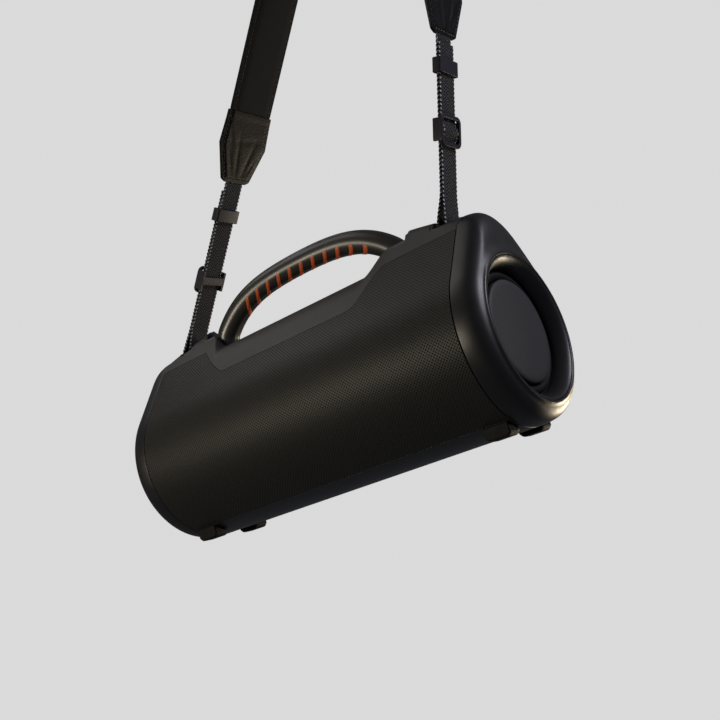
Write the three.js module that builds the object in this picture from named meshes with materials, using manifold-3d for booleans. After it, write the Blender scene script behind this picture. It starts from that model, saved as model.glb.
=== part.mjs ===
// Portable loudspeaker with a carry handle, hanging from its shoulder strap.
// Millimetres. +Z is up as it hangs, -Y is the front. The origin is the point of the strap
// that rests on whatever carries it, at the inside of the pad's highest point.
import * as THREE from 'three';
import { mergeVertices } from 'three/addons/utils/BufferGeometryUtils.js';
import Module from 'manifold-3d';

const wasm = await Module();
wasm.setup();

// ---- driving dimensions -------------------------------------------------------------------
const GAP = 0.3;                    // between touching pieces
const DEG = Math.PI / 180;

const TILT = 19.4 * DEG;            // right end hangs higher than the left end
const BODY_AT = [-23.5, 0, -481.5]; // middle of the drum, from the hanging point

const DRUM_R = 80;                  // round lower part of the cross-section
const FLANK = 38 * DEG;             // how far the straight flanks face upward
const SADDLE_TOP = 99;              // top of the body under the handle
const SHOULDER_RISE = 24.5;
const SHOULDER_FALL = 13.5;         // drop from the shoulder's peak to the end cap
// Distances from the middle over which the saddle rises to each shoulder: the left wall is
// steep, the right one is a long slope. The grille's top edge climbs along with them.
const WALL = {
  left: { from: 103, to: 121, grilleFrom: 84, grilleTo: 122 },
  right: { from: 78, to: 119, grilleFrom: 73, grilleTo: 110 },
};
const GRILLE_HALF = 187;            // seam between the grille and each end cap
const GRILLE_LOW = 65;              // top edge of the grille below the handle
const GRILLE_HIGH = 96;             // and on the shoulders
const BASE_ANGLE = 62 * DEG;        // the grille ends this far below the horizon
const GRILLE_T = 1.6;
const SKIN_T = 2.5;

const CAP_END = 213;                // lip of the horn ring
const LIP_R = 66.8;
const FUNNEL_R = 56;
const DISC_R = 46;
const DISC_FACE = 202.5;
const DISC_T = 6;

const HANDLE_TOP = 144;             // centre of the grip at mid-length
const HANDLE_R = 11.3;
const HANDLE_FLAT = 4.4;            // flat underside that carries the ribbed insert
const RIBS = 11;
const RIB_PITCH = 15.1;

const BAR_X = 166;                  // strap bar in each shoulder
const BAR_Z = 107;
const BAR_R = 2.6;
const SLOT = { x: 21, y: 31, floor: 95, lean: 3.5 };  // both straps lean to the right
const SWING_Z = 131;                // the webbing folds here as the body swings

const WEB_W = 25;
const WEB_T = 1.6;
const PAD_W = 57;
const PAD_T = 5;
const PAD_R = 92;                   // middle of the pad where it goes over a shoulder
const END_L = 70;                   // stitched end piece between the pad and the webbing
const TAIL_OUT = 2.3;               // the tail lies this far outside the main strand
const KEEPER = { across: 31, through: 9, along: 13 };
const SLIDER = { across: 33, along: 28 };
// Distances up each leg from its bar: slider, keeper, end of the tail, start of the end piece.
const LEG = {
  left: { side: -1, slider: 83, keeper: 152, tail: 177, end: 186 },
  right: { side: 1, slider: 85, keeper: 141, tail: 162, end: 168 },
};

const FOOT = { x0: 160, x1: 184, y0: 21, y1: 38, z: -83, slope: 3 };

const CABINET = { R: 75, top: 82, half: 186, wall: 3 };
const WOOFER_X = 92;
const SOCKET = { x0: 101, x1: 129, half: 14, floor: 86 };
const LINER = 2;                    // wall of the socket and slot liners
const CONTROLS = { half: 56, across: 13 };
const BUTTONS = ['power', 'pairing', 'volume_down', 'play', 'volume_up'];
const BUTTON_PITCH = 21;
const BUTTON_R = 7;
const PORT = { half: 42, z0: -34, z1: -6 };

// ---- materials ----------------------------------------------------------------------------
const mat = (color, roughness, metalness = 0) =>
  new THREE.MeshStandardMaterial({ color, roughness, metalness });
const M = {
  housing: mat('#1d1d1f', 0.42),
  cover: mat('#3a3a3a', 0.5),
  grille: mat('#262624', 0.45, 0.6),
  grip: mat('#2e2d28', 0.35),
  orange: mat('#c25a2c', 0.55),
  disc: mat('#3a3a3c', 0.6),
  rubber: mat('#141414', 0.8),
  buckle: mat('#45434d', 0.5),
  webbing: mat('#151515', 0.9),
  leatherette: mat('#101011', 0.3),
  pad: mat('#0f0f10', 0.6),
  steel: mat('#8d8f92', 0.3, 1),
  cone: mat('#222222', 0.7),
  board: mat('#1c4a2c', 0.6),
  battery: mat('#22384f', 0.5),
};

// ---- solids -------------------------------------------------------------------------------
function bare(geometry) {
  const g = geometry.clone();
  g.deleteAttribute('normal');
  g.deleteAttribute('uv');
  return mergeVertices(g, 1e-4);
}
function solid(geometry) {
  const g = bare(geometry);
  return new wasm.Manifold(new wasm.Mesh({
    numProp: 3,
    vertProperties: new Float32Array(g.attributes.position.array),
    triVerts: new Uint32Array(g.index.array),
  }));
}
function surface(manifold) {
  const m = manifold.getMesh();
  const g = new THREE.BufferGeometry();
  g.setAttribute('position', new THREE.BufferAttribute(m.vertProperties, 3));
  g.setIndex(new THREE.BufferAttribute(m.triVerts, 1));
  return g;
}
const cut = (body, ...tools) =>
  surface(tools.reduce((s, t) => s.subtract(solid(t)), solid(body)));
const join = (body, ...more) =>
  surface(more.reduce((s, t) => s.add(solid(t)), solid(body)));
const box = (dx, dy, dz, x = 0, y = 0, z = 0) =>
  new THREE.BoxGeometry(dx, dy, dz).translate(x, y, z);

const cylinder = (r, length, segments = 16) =>
  new THREE.CylinderGeometry(r, r, length, segments);

// A body of revolution about the y axis. The profile is a list of [radius, y]; one that
// doesn't start and end on the axis is closed on itself.
function turnY(profile, segments = 40) {
  const points = outward(profile, 0).map(([r, y]) => new THREE.Vector2(r, y));
  return new THREE.LatheGeometry(points, segments);
}
// Closes a profile that is off the axis, and puts it in the order that faces outward.
function outward(profile, radius) {
  const area = profile.reduce((sum, p, i) => {
    const q = profile[(i + 1) % profile.length];
    return sum + p[radius] * q[1 - radius] - q[radius] * p[1 - radius];
  }, 0);
  const loop = profile[0][radius] === 0 ? profile : [...profile, profile[0]];
  return area > 0 ? loop : [...loop].reverse();
}
const turnX = (profile, segments = 36) => turnY(profile, segments).rotateZ(-Math.PI / 2);
const turnZ = (profile, segments = 16) => turnY(profile, segments).rotateX(Math.PI / 2);

// Outline in the x-z plane, drawn out along y between y0 and y1.
function slab(points, y0, y1) {
  const shape = new THREE.Shape(points.map(([x, z]) => new THREE.Vector2(x, z)));
  return new THREE.ExtrudeGeometry(shape, { depth: y1 - y0, bevelEnabled: false })
    .rotateX(Math.PI / 2).translate(0, y1, 0);
}

// ---- the cross-section --------------------------------------------------------------------
// A drum of radius R below, two straight flanks, and a smaller arc over the top at height top.
const smooth = (a, b, v) => {
  const t = Math.min(1, Math.max(0, (v - a) / (b - a)));
  return t * t * (3 - 2 * t);
};
const steps = (a, b, n) => Array.from({ length: n + 1 }, (_, i) => a + (b - a) * i / n);
// Where the skin has its cross-sections, closest together on the saddle's walls.
const SKIN_END = GRILLE_HALF - GAP;
const STATIONS = [
  ...steps(-SKIN_END, -WALL.left.grilleTo, 3), ...steps(-WALL.left.to, -WALL.left.from, 7),
  ...steps(-94, 64, 7), ...steps(WALL.right.grilleFrom, WALL.right.to, 10),
  ...steps(126, SKIN_END, 4),
];
const PEAK = 116;                   // the shoulders fall from here to the end caps
const wallAt = (x) => (x < 0 ? WALL.left : WALL.right);
function topHeight(x) {
  const a = Math.abs(x);
  const { from, to } = wallAt(x);
  const fall = Math.max(0, (a - PEAK) / (GRILLE_HALF - PEAK));
  return SADDLE_TOP + SHOULDER_RISE * smooth(from, to, a) - SHOULDER_FALL * fall ** 1.3;
}
// The grille's edge climbs in an S on the right, and in a curve that ends in a corner on the left.
function grilleHeight(x) {
  const { grilleFrom, grilleTo } = wallAt(x);
  const t = Math.min(1, Math.max(0, (Math.abs(x) - grilleFrom) / (grilleTo - grilleFrom)));
  return GRILLE_LOW + (GRILLE_HIGH - GRILLE_LOW) * (x < 0 ? t ** 1.45 : smooth(0, 1, t));
}

function section(R, top) {
  const centre = (top - R) / (1 - Math.sin(FLANK));
  const r = R - centre * Math.sin(FLANK);
  const over = r * (Math.PI / 2 - FLANK);
  const flank = centre * Math.cos(FLANK);
  const half = over + flank + R * (Math.PI / 2 + FLANK);
  return { R, centre, r, over, flank, half };
}
// The point at a distance s round the section from its top; negative s is the front.
// depth sinks it below the skin.
function onSection(sec, s, depth = 0) {
  const side = s < 0 ? -1 : 1;
  const d = Math.abs(s);
  if (sec.R === 0) return [0, 0];
  let y, z;
  if (d < sec.over) {
    const a = Math.PI / 2 - d / sec.r;
    y = (sec.r - depth) * Math.cos(a);
    z = sec.centre + (sec.r - depth) * Math.sin(a);
  } else if (d < sec.over + sec.flank) {
    const f = (d - sec.over) / sec.flank;
    y = (sec.r + f * (sec.R - sec.r) - depth) * Math.cos(FLANK);
    z = (1 - f) * sec.centre + (sec.r + f * (sec.R - sec.r) - depth) * Math.sin(FLANK);
  } else {
    const a = FLANK - (d - sec.over - sec.flank) / sec.R;
    y = (sec.R - depth) * Math.cos(a);
    z = (sec.R - depth) * Math.sin(a);
  }
  return [side * y, z];
}
function roundAtHeight(sec, z) {
  const flankTop = sec.centre + sec.r * Math.sin(FLANK);
  const flankFoot = sec.R * Math.sin(FLANK);
  if (z > flankTop) return sec.r * (Math.PI / 2 - Math.asin((z - sec.centre) / sec.r));
  if (z > flankFoot) return sec.over + (flankTop - z) / Math.cos(FLANK);
  return sec.over + sec.flank + sec.R * (FLANK - Math.asin(z / sec.R));
}
const bodySection = (x) => section(DRUM_R, topHeight(x));

// A panel of the skin over the stations xs, round from s1(x) up to s0(x), between two depths.
function panel({ xs, s0, s1, outer = 0, inner, ns }) {
  const g = new THREE.BoxGeometry(1, 1, 1, xs.length - 1, ns, 1);
  const p = g.attributes.position;
  for (let i = 0; i < p.count; i++) {
    const x = xs[Math.round((p.getX(i) + 0.5) * (xs.length - 1))];
    const sec = bodySection(x);
    const s = s1(x, sec) + (s0(x, sec) - s1(x, sec)) * (p.getY(i) + 0.5);
    const [y, z] = onSection(sec, s, p.getZ(i) > 0 ? outer : inner);
    p.setXYZ(i, x, y, z);
  }
  return g;
}
// A loft round the x axis. The profile is a list of [x, R, top], with top = R for a circle
// and R = 0 for a point on the axis; it is closed on itself unless it starts on the axis.
function loft(profile, segments) {
  const loop = outward(profile, 1).reverse();
  const g = new THREE.LatheGeometry(loop.map(([x, R]) => new THREE.Vector2(R, x)), segments);
  const p = g.attributes.position;
  for (let i = 0; i <= segments; i++) {
    for (let j = 0; j < loop.length; j++) {
      const [x, R, top] = loop[j];
      const sec = section(R, top);
      const turn = (i % segments) / segments;
      const [y, z] = onSection(sec, (2 * turn - 1) * sec.half);
      p.setXYZ(i * loop.length + j, x, y, z);
    }
  }
  return g;
}

// ---- housing ------------------------------------------------------------------------------
const part = new THREE.Group();
const housing = new THREE.Group();
housing.position.set(...BODY_AT);
housing.rotation.y = -TILT;
part.add(housing);

function add(group, name, geometry, material, place) {
  const mesh = new THREE.Mesh(geometry, material);
  mesh.name = name;
  if (place) place(mesh);
  group.add(mesh);
}
// A pair at the two ends: the left one is the right one turned half round.
function bothEnds(name, geometry, material) {
  add(housing, `${name}_right`, geometry, material);
  add(housing, `${name}_left`, geometry, material, (m) => { m.rotation.z = Math.PI; });
}

// The whole body as one solid, for trimming what ends at its skin.
function bodySolid(depth) {
  const at = (x) => [x, DRUM_R - depth, topHeight(x) - depth];
  return loft([[-SKIN_END, 0, 0], ...STATIONS.map(at), [SKIN_END, 0, 0]], 48);
}
const skin = solid(bodySolid(0));
const trimmed = (geometry) => surface(solid(geometry).intersect(skin));

function grilles() {
  const top = (x, sec) => roundAtHeight(sec, grilleHeight(x)) + GAP;
  const low = (x, sec) => sec.half - sec.R * (Math.PI / 2 - BASE_ANGLE);
  const shape = { xs: STATIONS, inner: GRILLE_T, ns: 9 };
  const front = panel({
    ...shape, s0: (x, sec) => -top(x, sec), s1: (x, sec) => GAP - low(x, sec),
  });
  const rear = panel({ ...shape, s0: (x, sec) => low(x, sec) - GAP, s1: top });
  add(housing, 'front_grille', front, M.grille);
  add(housing, 'rear_grille', cut(rear, portOpening(LINER + GAP, 60, 90)), M.grille);
  const base = panel({
    xs: [-SKIN_END, 0, SKIN_END], inner: SKIN_T, ns: 10,
    s0: (x, sec) => 2 * sec.half - low(x, sec), s1: low,
  });
  add(housing, 'base_panel', base, M.housing);
}
function portOpening(grow, y0, y1) {
  return box(2 * (PORT.half + grow), y1 - y0, PORT.z1 - PORT.z0 + 2 * grow,
    0, (y0 + y1) / 2, (PORT.z0 + PORT.z1) / 2);
}
function socketBlock(side, grow) {
  const height = 60;
  return box(SOCKET.x1 - SOCKET.x0 + 2 * grow, 2 * (SOCKET.half + grow), height,
    side * (SOCKET.x0 + SOCKET.x1) / 2, 0, SOCKET.floor + height / 2 - grow);
}
function slotBlock(side, grow) {
  const height = 50;
  return box(SLOT.x + 2 * grow, SLOT.y + 2 * grow, height,
    side * BAR_X + SLOT.lean, 0, SLOT.floor + height / 2 - grow);
}

function topCover() {
  const top = (x, sec) => roundAtHeight(sec, grilleHeight(x));
  const cover = panel({
    xs: STATIONS, inner: SKIN_T, ns: 12, s0: top, s1: (x, sec) => -top(x, sec),
  });
  const reach = LINER + GAP;
  const controls = box(2 * (CONTROLS.half + GAP), 2 * (CONTROLS.across + GAP), 30,
    0, 0, SADDLE_TOP);
  add(housing, 'top_cover', cut(cover, socketBlock(1, reach), socketBlock(-1, reach),
    slotBlock(1, reach), slotBlock(-1, reach), controls), M.cover);
  for (const [end, side] of [['left', -1], ['right', 1]]) {
    const socket = trimmed(cut(socketBlock(side, LINER), socketBlock(side, 0)));
    add(housing, `handle_socket_${end}`, socket, M.housing);
    const bore = cylinder(BAR_R + GAP, SLOT.y + 3.2).translate(side * BAR_X, 0, BAR_Z);
    add(housing, `strap_slot_${end}`,
      trimmed(cut(slotBlock(side, LINER), slotBlock(side, 0), bore)), M.housing);
    const bar = cylinder(BAR_R, SLOT.y + 2.6).translate(side * BAR_X, 0, BAR_Z);
    add(housing, `strap_bar_${end}`, bar, M.steel);
  }
}

function controls() {
  const plate = panel({
    xs: [-CONTROLS.half, 0, CONTROLS.half], inner: SKIN_T, ns: 6,
    s0: () => CONTROLS.across, s1: () => -CONTROLS.across,
  });
  const places = BUTTONS.map((name, i) => [name, (i - (BUTTONS.length - 1) / 2) * BUTTON_PITCH]);
  const holes = places.map(([, x]) => turnZ([[0, 90], [BUTTON_R + GAP, 90],
    [BUTTON_R + GAP, 105], [0, 105]]).translate(x, 0, 0));
  add(housing, 'control_strip', cut(plate, ...holes), M.housing);
  const low = SADDLE_TOP - 4.2;
  const cap = turnZ([[0, low], [BUTTON_R, low], [BUTTON_R, SADDLE_TOP - 1],
    [BUTTON_R - 1, SADDLE_TOP - 0.4], [0, SADDLE_TOP]]);
  for (const [name, x] of places) {
    add(housing, `button_${name}`, cap, M.rubber, (m) => m.position.set(x, 0, 0));
  }
  add(housing, 'button_board', box(2 * CONTROLS.half - 2, 24, 1.6, 0, 0, low - 2), M.board);
}

function endCaps() {
  bothEnds('end_cap', loft([
    [187, 80, 110], [194, 79.9, 109.4], [200, 79.2, 107.8], [204, 77.8, 104.8],
    [207.2, 75.4, 100.4], [209.2, 73, 95], [210.3, 71, 87], [210.8, 69.4, 79],
    [211.6, 68.2, 73], [CAP_END, LIP_R, LIP_R],
    [212.4, 65.4, 65.4], [205, 64.6, 64.6], [196.5, 64.6, 64.6], [196.5, 67.2, 67.2],
    [205, 67.4, 67.4], [203.5, 73, 96], [199.5, 76.2, 103], [187, 76.8, 106],
  ], 40), M.housing);
  bothEnds('horn_ring', turnX([
    [64.3, 197], [64.3, 211.2], [63.4, 212.2], [61.5, 211.4], [58.5, 207.5],
    [FUNNEL_R + 0.2, 204], [55.6, 201], [55.6, 197],
  ]), M.housing);
  bothEnds('radiator_frame', loft([
    [186.3, 75, 82], [190, 75, 82], [190, 59.5, 59.5], [196.6, 59.5, 59.5],
    [196.6, 55.2, 55.2], [186.3, 55.2, 55.2],
  ], 32), M.housing);
  bothEnds('radiator_surround', turnX([
    [54.9, 193.5], [54.9, 196.4], [53.5, 198.6], [51, 199.6], [48.5, 198.6], [46.6, 196.5],
    [46.6, 194.5], [48.6, 196.2], [51, 197.2], [53, 196], [53.4, 193.5],
  ]), M.rubber);
  const back = DISC_FACE - DISC_T;
  bothEnds('radiator_disc', turnX([
    [0, DISC_FACE - 0.3], [43.5, DISC_FACE], [45.4, DISC_FACE - 0.6], [DISC_R, DISC_FACE - 1.8],
    [DISC_R, back + 0.6], [45.2, back], [0, back],
  ]), M.disc);
}

// The grip's centre line, an arch with its ends turned down into the sockets.
const arch = (x) => HANDLE_TOP - 7.27 * (x / 90.9) ** 2 - 10.27 * (x / 90.9) ** 4;
function handle() {
  const ARCH_END = 108;
  const span = 24;
  const over = Array.from({ length: span + 1 }, (_, i) => ARCH_END * (2 * i / span - 1));
  const route = new THREE.CatmullRomCurve3([
    new THREE.Vector3(-115.5, 0, 92), new THREE.Vector3(-114.2, 0, 101),
    ...over.map((x) => new THREE.Vector3(x, 0, arch(x))),
    new THREE.Vector3(114.2, 0, 101), new THREE.Vector3(115.5, 0, 92),
  ]);
  const swept = (from, to) => new THREE.ExtrudeGeometry(
    new THREE.Shape().absarc(0, 0, HANDLE_R, from, to, false),
    { steps: 34, curveSegments: 12, extrudePath: route, bevelEnabled: false });
  const a = Math.asin(HANDLE_FLAT / HANDLE_R);
  add(housing, 'handle_grip', swept(Math.PI - a, 2 * Math.PI + a), M.grip);

  const half = RIBS * RIB_PITCH / 2;
  const below = (x, depth) => {
    const slope = (arch(x + 0.5) - arch(x - 0.5));
    const n = Math.hypot(slope, 1);
    return [x + slope / n * depth, arch(x) - depth / n];
  };
  const face = HANDLE_FLAT + GAP;
  const outline = [];
  for (let i = 0; i <= RIBS * 2; i++) outline.push(below(half - i * RIB_PITCH / 2, face));
  for (let i = 0; i < RIBS; i++) {
    const x = -half + i * RIB_PITCH;
    outline.push(below(x, face + 1.6), below(x + 0.28 * RIB_PITCH, face + 1.6),
      below(x + 0.34 * RIB_PITCH, HANDLE_R), below(x + 0.66 * RIB_PITCH, HANDLE_R),
      below(x + 0.72 * RIB_PITCH, face + 1.6));
  }
  outline.push(below(half, face + 1.6));
  const comb = slab(outline.reverse(), -HANDLE_R, HANDLE_R);
  const insert = surface(solid(comb).intersect(solid(swept(0, 2 * Math.PI))));
  add(housing, 'handle_rib_insert', insert, M.orange);
  for (const [end, side] of [['left', -1], ['right', 1]]) {
    const foot = box(22, 26, 4.4, side * 115.5, 0, SOCKET.floor + GAP + 2.2);
    add(housing, `handle_anchor_${end}`, foot, M.steel);
  }
}

function feet() {
  const outline = (s) => [[s.x0, -60], [s.x0, s.z + s.slope], [s.x0 + s.slope, s.z],
    [s.x1 - s.slope, s.z], [s.x1, s.z + s.slope], [s.x1, -60]];
  const drum = cylinder(DRUM_R + GAP, 60, 96).rotateZ(Math.PI / 2).translate(172, 0, 0);
  const block = slab(outline(FOOT).reverse(), -FOOT.y1, -FOOT.y0);
  const foot = cut(block, drum);
  const turned = foot.clone().scale(-1, -1, 1);
  add(housing, 'foot_front_right', foot, M.rubber);
  add(housing, 'foot_rear_left', turned, M.rubber);
  const other = cut(slab(outline(FOOT).reverse(), FOOT.y0, FOOT.y1), drum);
  add(housing, 'foot_rear_right', other, M.rubber);
  add(housing, 'foot_front_left', other.clone().scale(-1, -1, 1), M.rubber);
}

function inside() {
  const c = CABINET;
  const shell = loft([[-c.half, c.R, c.top], [-c.half, c.R - c.wall, c.top - c.wall],
    [c.half, c.R - c.wall, c.top - c.wall], [c.half, c.R, c.top]], 40);
  const hole = (x) => cylinder(38, 50, 28).translate(x, -75, 0);
  add(housing, 'cabinet', cut(shell, hole(WOOFER_X), hole(-WOOFER_X),
    portOpening(LINER + GAP, 55, 90)), M.housing);
  const basket = turnY([[42, -58], [42, -55], [37.5, -55], [27, -30], [27, -27], [10, -27],
    [10, -29.5], [25, -29.5], [36, -56.5], [36, -58]], 24);
  const cone = turnY([[0, -44.5], [8, -43.6], [12, -41.6], [33.4, -56.8], [33.4, -55.6],
    [12, -40], [0, -40]], 24);
  for (const [end, side] of [['left', -1], ['right', 1]]) {
    const at = (m) => m.position.set(side * WOOFER_X, 0, 0);
    add(housing, `woofer_basket_${end}`, basket, M.steel, at);
    add(housing, `woofer_cone_${end}`, cone, M.cone, at);
    add(housing, `woofer_magnet_${end}`, cylinder(26, 14, 24).translate(0, -19.7, 0),
      M.steel, at);
  }
  add(housing, 'battery_pack', box(130, 30, 32, 0, 20, -40), M.battery);
  add(housing, 'main_board', box(120, 1.6, 44, 0, 48, 22), M.board);

  const tray = cut(portOpening(LINER - GAP, 59.5, 69), portOpening(-GAP, 62.5, 90));
  add(housing, 'port_panel', tray, M.housing);
  add(housing, 'usb_socket', box(9.2, 4.5, 3.6, -16, 65.05, -20), M.steel);
  const reach = LINER - GAP;
  const half = PORT.half + reach;
  const cover = panel({
    xs: [-half, 0, half], inner: 2, ns: 5,
    s0: (x, sec) => roundAtHeight(sec, PORT.z0 - reach),
    s1: (x, sec) => roundAtHeight(sec, PORT.z1 + reach),
  });
  add(housing, 'port_cover', cover, M.rubber);
}

// ---- strap --------------------------------------------------------------------------------
// A leg runs from a bar in the shoulder, at a tangent, to the arc over what carries it.
// Its own axes are x across the webbing, y outward and z up the leg, from the bar.
const ARC_AT = new THREE.Vector2(0, PAD_T / 2 - PAD_R);
function leg({ side }) {
  const bar = new THREE.Vector2(
    BODY_AT[0] + side * BAR_X * Math.cos(TILT) - BAR_Z * Math.sin(TILT),
    BODY_AT[2] + side * BAR_X * Math.sin(TILT) + BAR_Z * Math.cos(TILT));
  const from = bar.clone().sub(ARC_AT);
  const turn = from.angle() + side * Math.acos(PAD_R / from.length());
  const meets = new THREE.Vector2(Math.cos(turn), Math.sin(turn)).multiplyScalar(PAD_R)
    .add(ARC_AT);
  const along = meets.clone().sub(bar);
  const length = along.length();
  along.normalize();
  const matrix = new THREE.Matrix4().makeBasis(
    new THREE.Vector3(0, -side, 0),
    new THREE.Vector3(side * along.y, 0, -side * along.x),
    new THREE.Vector3(along.x, 0, along.y)).setPosition(bar.x, 0, bar.y);
  return { bar, meets, turn, along, length, matrix };
}
// A flat strip whose centre line is a list of [outward, up] on the leg's axes.
function strip(line, thickness, width) {
  const points = line.map(([n, t]) => new THREE.Vector2(n, t));
  const sides = [[], []];
  points.forEach((p, i) => {
    const before = points[Math.max(0, i - 1)];
    const after = points[Math.min(points.length - 1, i + 1)];
    const across = after.clone().sub(before).normalize().rotateAround(
      new THREE.Vector2(), Math.PI / 2).multiplyScalar(thickness / 2);
    sides[0].push(p.clone().add(across));
    sides[1].push(p.clone().sub(across));
  });
  const shape = new THREE.Shape([...sides[1], ...sides[0].reverse()]);
  const toLeg = new THREE.Matrix4().makeBasis(new THREE.Vector3(0, 1, 0),
    new THREE.Vector3(0, 0, 1), new THREE.Vector3(1, 0, 0));
  return new THREE.ExtrudeGeometry(shape, { depth: width, bevelEnabled: false })
    .translate(0, 0, -width / 2).applyMatrix4(toLeg);
}

// Where the webbing folds as the body swings: a round tongue in a round notch.
const FOLD_R = WEB_W / 2 + 0.2;
function foldTools() {
  const place = (g) => g.rotateY(TILT * -1).translate(...BODY_AT);
  const pin = (r) => place(cylinder(r, 500, 36).rotateZ(Math.PI / 2).translate(0, 0, SWING_Z));
  const below = place(box(600, 90, 120, 0, 0, SWING_Z - 60));
  return { pin, below };
}

function strap() {
  const { pin, below } = foldTools();
  const upper = (strand) => surface(solid(strand).subtract(solid(below).subtract(
    solid(pin(FOLD_R)))));
  const lower = (strand) => surface(solid(strand).intersect(solid(below)).subtract(
    solid(pin(FOLD_R + GAP + 0.1))));
  const wrap = BAR_R + 0.5 + WEB_T / 2;
  for (const [end, l] of Object.entries(LEG)) {
    const { matrix } = leg(l);
    const place = (g) => g.clone().applyMatrix4(matrix);
    const main = (t) => -wrap * (1 - smooth(2, 34, t));
    const back = (t) => TAIL_OUT + (wrap - TAIL_OUT) * (1 - smooth(2, 34, t));
    const weave = (t) => {
      const off = Math.min(1, Math.abs(t - l.slider) / 9.5);
      return back(t) + 2.9 * (0.5 + 0.5 * Math.cos(Math.PI * off));
    };
    const round = steps(180, 360, 10).map((a) =>
      [wrap * Math.cos(a * DEG), wrap * Math.sin(a * DEG)]);
    const loop = [...steps(44, 2, 7).map((t) => [main(t), t]), ...round,
      ...steps(2, 44, 7).map((t) => [back(t), t])];
    add(part, `webbing_loop_${end}`, lower(place(strip(loop, WEB_T, WEB_W))), M.webbing);
    const strand = [...steps(6, 34, 5), l.end - GAP].map((t) => [main(t), t]);
    add(part, `webbing_${end}`, upper(place(strip(strand, WEB_T, WEB_W))), M.webbing);
    const tail = [...steps(6, 34, 5), ...steps(l.slider - 9.5, l.slider + 9.5, 10), l.tail]
      .map((t) => [weave(t), t]);
    add(part, `webbing_tail_${end}`, upper(place(strip(tail, WEB_T, WEB_W))), M.webbing);

    add(part, `slider_${end}`, place(slider().translate(0, 0, l.slider)), M.buckle);
    add(part, `keeper_${end}`, place(keeper().translate(0, 0, l.keeper)), M.buckle);
    add(part, `strap_end_${end}`, place(endPiece().translate(0, 0, l.end)), M.leatherette);
  }
  add(part, 'shoulder_pad', pad(), M.pad);
}
function slider() {
  const inner = WEB_W / 2 + 0.5;
  const rail = SLIDER.across / 2 - inner;
  const half = SLIDER.along / 2;
  const side = (x) => box(rail, 9.4, SLIDER.along, x, 1.3, 0);
  const bar = (y, dy, z, dz) => box(SLIDER.across - 2, dy, dz, 0, y, z);
  return join(side(inner + rail / 2), side(-inner - rail / 2), bar(4.75, 2.5, half - 1.8, 3.4),
    bar(4.75, 2.5, 1.8 - half, 3.4), bar(2.3, 2.1, 0, 3.2), bar(-2.4, 2, 0, 9));
}
function keeper() {
  const k = KEEPER;
  return cut(box(k.across, k.through, k.along, 0, TAIL_OUT / 2, 0),
    box(WEB_W + 1, TAIL_OUT + WEB_T + 0.8, k.along + 2, 0, TAIL_OUT / 2, 0));
}
function endPiece() {
  const half = [[14, 0], [20, 3], [33, 38], [30.5, END_L]];
  const outline = [...half, ...half.map(([x, z]) => [-x, z]).reverse()];
  return slab(outline, -PAD_T / 2, PAD_T / 2);
}
function pad() {
  const [left, right] = [leg(LEG.left), leg(LEG.right)];
  const start = left.along.clone().multiplyScalar(LEG.left.end + END_L + GAP).add(left.bar);
  const a0 = left.turn;
  const a1 = right.turn + (right.turn > left.turn ? -2 * Math.PI : 0);
  const arc = steps(a0, a1, 30).map((a) =>
    [ARC_AT.x + PAD_R * Math.cos(a), ARC_AT.y + PAD_R * Math.sin(a)]);
  const finish = right.along.clone().multiplyScalar(LEG.right.end + END_L + GAP).add(right.bar);
  const line = [[start.x, start.y], ...arc];
  if (LEG.right.end + END_L + 2 < right.length) line.push([finish.x, finish.y]);
  const flat = strip(line, PAD_T, PAD_W);
  const toRow = new THREE.Matrix4().makeBasis(new THREE.Vector3(0, -1, 0),
    new THREE.Vector3(1, 0, 0), new THREE.Vector3(0, 0, 1));
  return flat.applyMatrix4(toRow);
}

grilles();
topCover();
controls();
endCaps();
handle();
feet();
inside();
strap();

export default part;
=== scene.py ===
"""Builds the fine surfaces of a hanging portable loudspeaker round its packed frame."""

import math
from collections import Counter
from types import SimpleNamespace

import bmesh
import bpy
from bpy.props import FloatProperty, FloatVectorProperty, IntProperty, PointerProperty
from mathutils import Matrix, Vector


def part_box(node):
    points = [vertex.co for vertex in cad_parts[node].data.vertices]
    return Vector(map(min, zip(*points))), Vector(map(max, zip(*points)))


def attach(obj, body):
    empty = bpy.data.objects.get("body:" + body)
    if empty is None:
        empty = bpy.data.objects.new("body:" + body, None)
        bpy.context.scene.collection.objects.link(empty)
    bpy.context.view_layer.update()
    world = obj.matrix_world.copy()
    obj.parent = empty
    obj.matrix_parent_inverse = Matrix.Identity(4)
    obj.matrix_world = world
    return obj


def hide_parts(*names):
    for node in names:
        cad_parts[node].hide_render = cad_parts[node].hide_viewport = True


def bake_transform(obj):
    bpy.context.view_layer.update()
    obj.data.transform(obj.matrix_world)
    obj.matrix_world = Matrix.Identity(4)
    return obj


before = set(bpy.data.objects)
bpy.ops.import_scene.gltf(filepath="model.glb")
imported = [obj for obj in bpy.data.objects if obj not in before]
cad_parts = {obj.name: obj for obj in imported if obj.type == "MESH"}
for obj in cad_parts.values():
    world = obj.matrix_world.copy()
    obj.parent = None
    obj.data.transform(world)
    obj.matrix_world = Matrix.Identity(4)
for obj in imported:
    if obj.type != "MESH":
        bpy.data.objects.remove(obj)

bl_info = {
    "name": "Shower Loudspeaker",
    "version": (1, 0, 0),
    "blender": (4, 5, 0),
    "location": "View3D > Sidebar > Loudspeaker",
    "description": "Builds a drum-shaped loudspeaker that hangs from its shoulder strap",
    "category": "Object",
}

MM = 0.001
QUARTER = math.pi / 2
ENDS = ("left", "right")
BAR_HEIGHT = 107               # the strap bars above the drum's axis


# ---- where the frame puts the two bodies ------------------------------------------------
def middle(node):
    low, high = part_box(node)
    return (low + high) / 2


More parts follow.
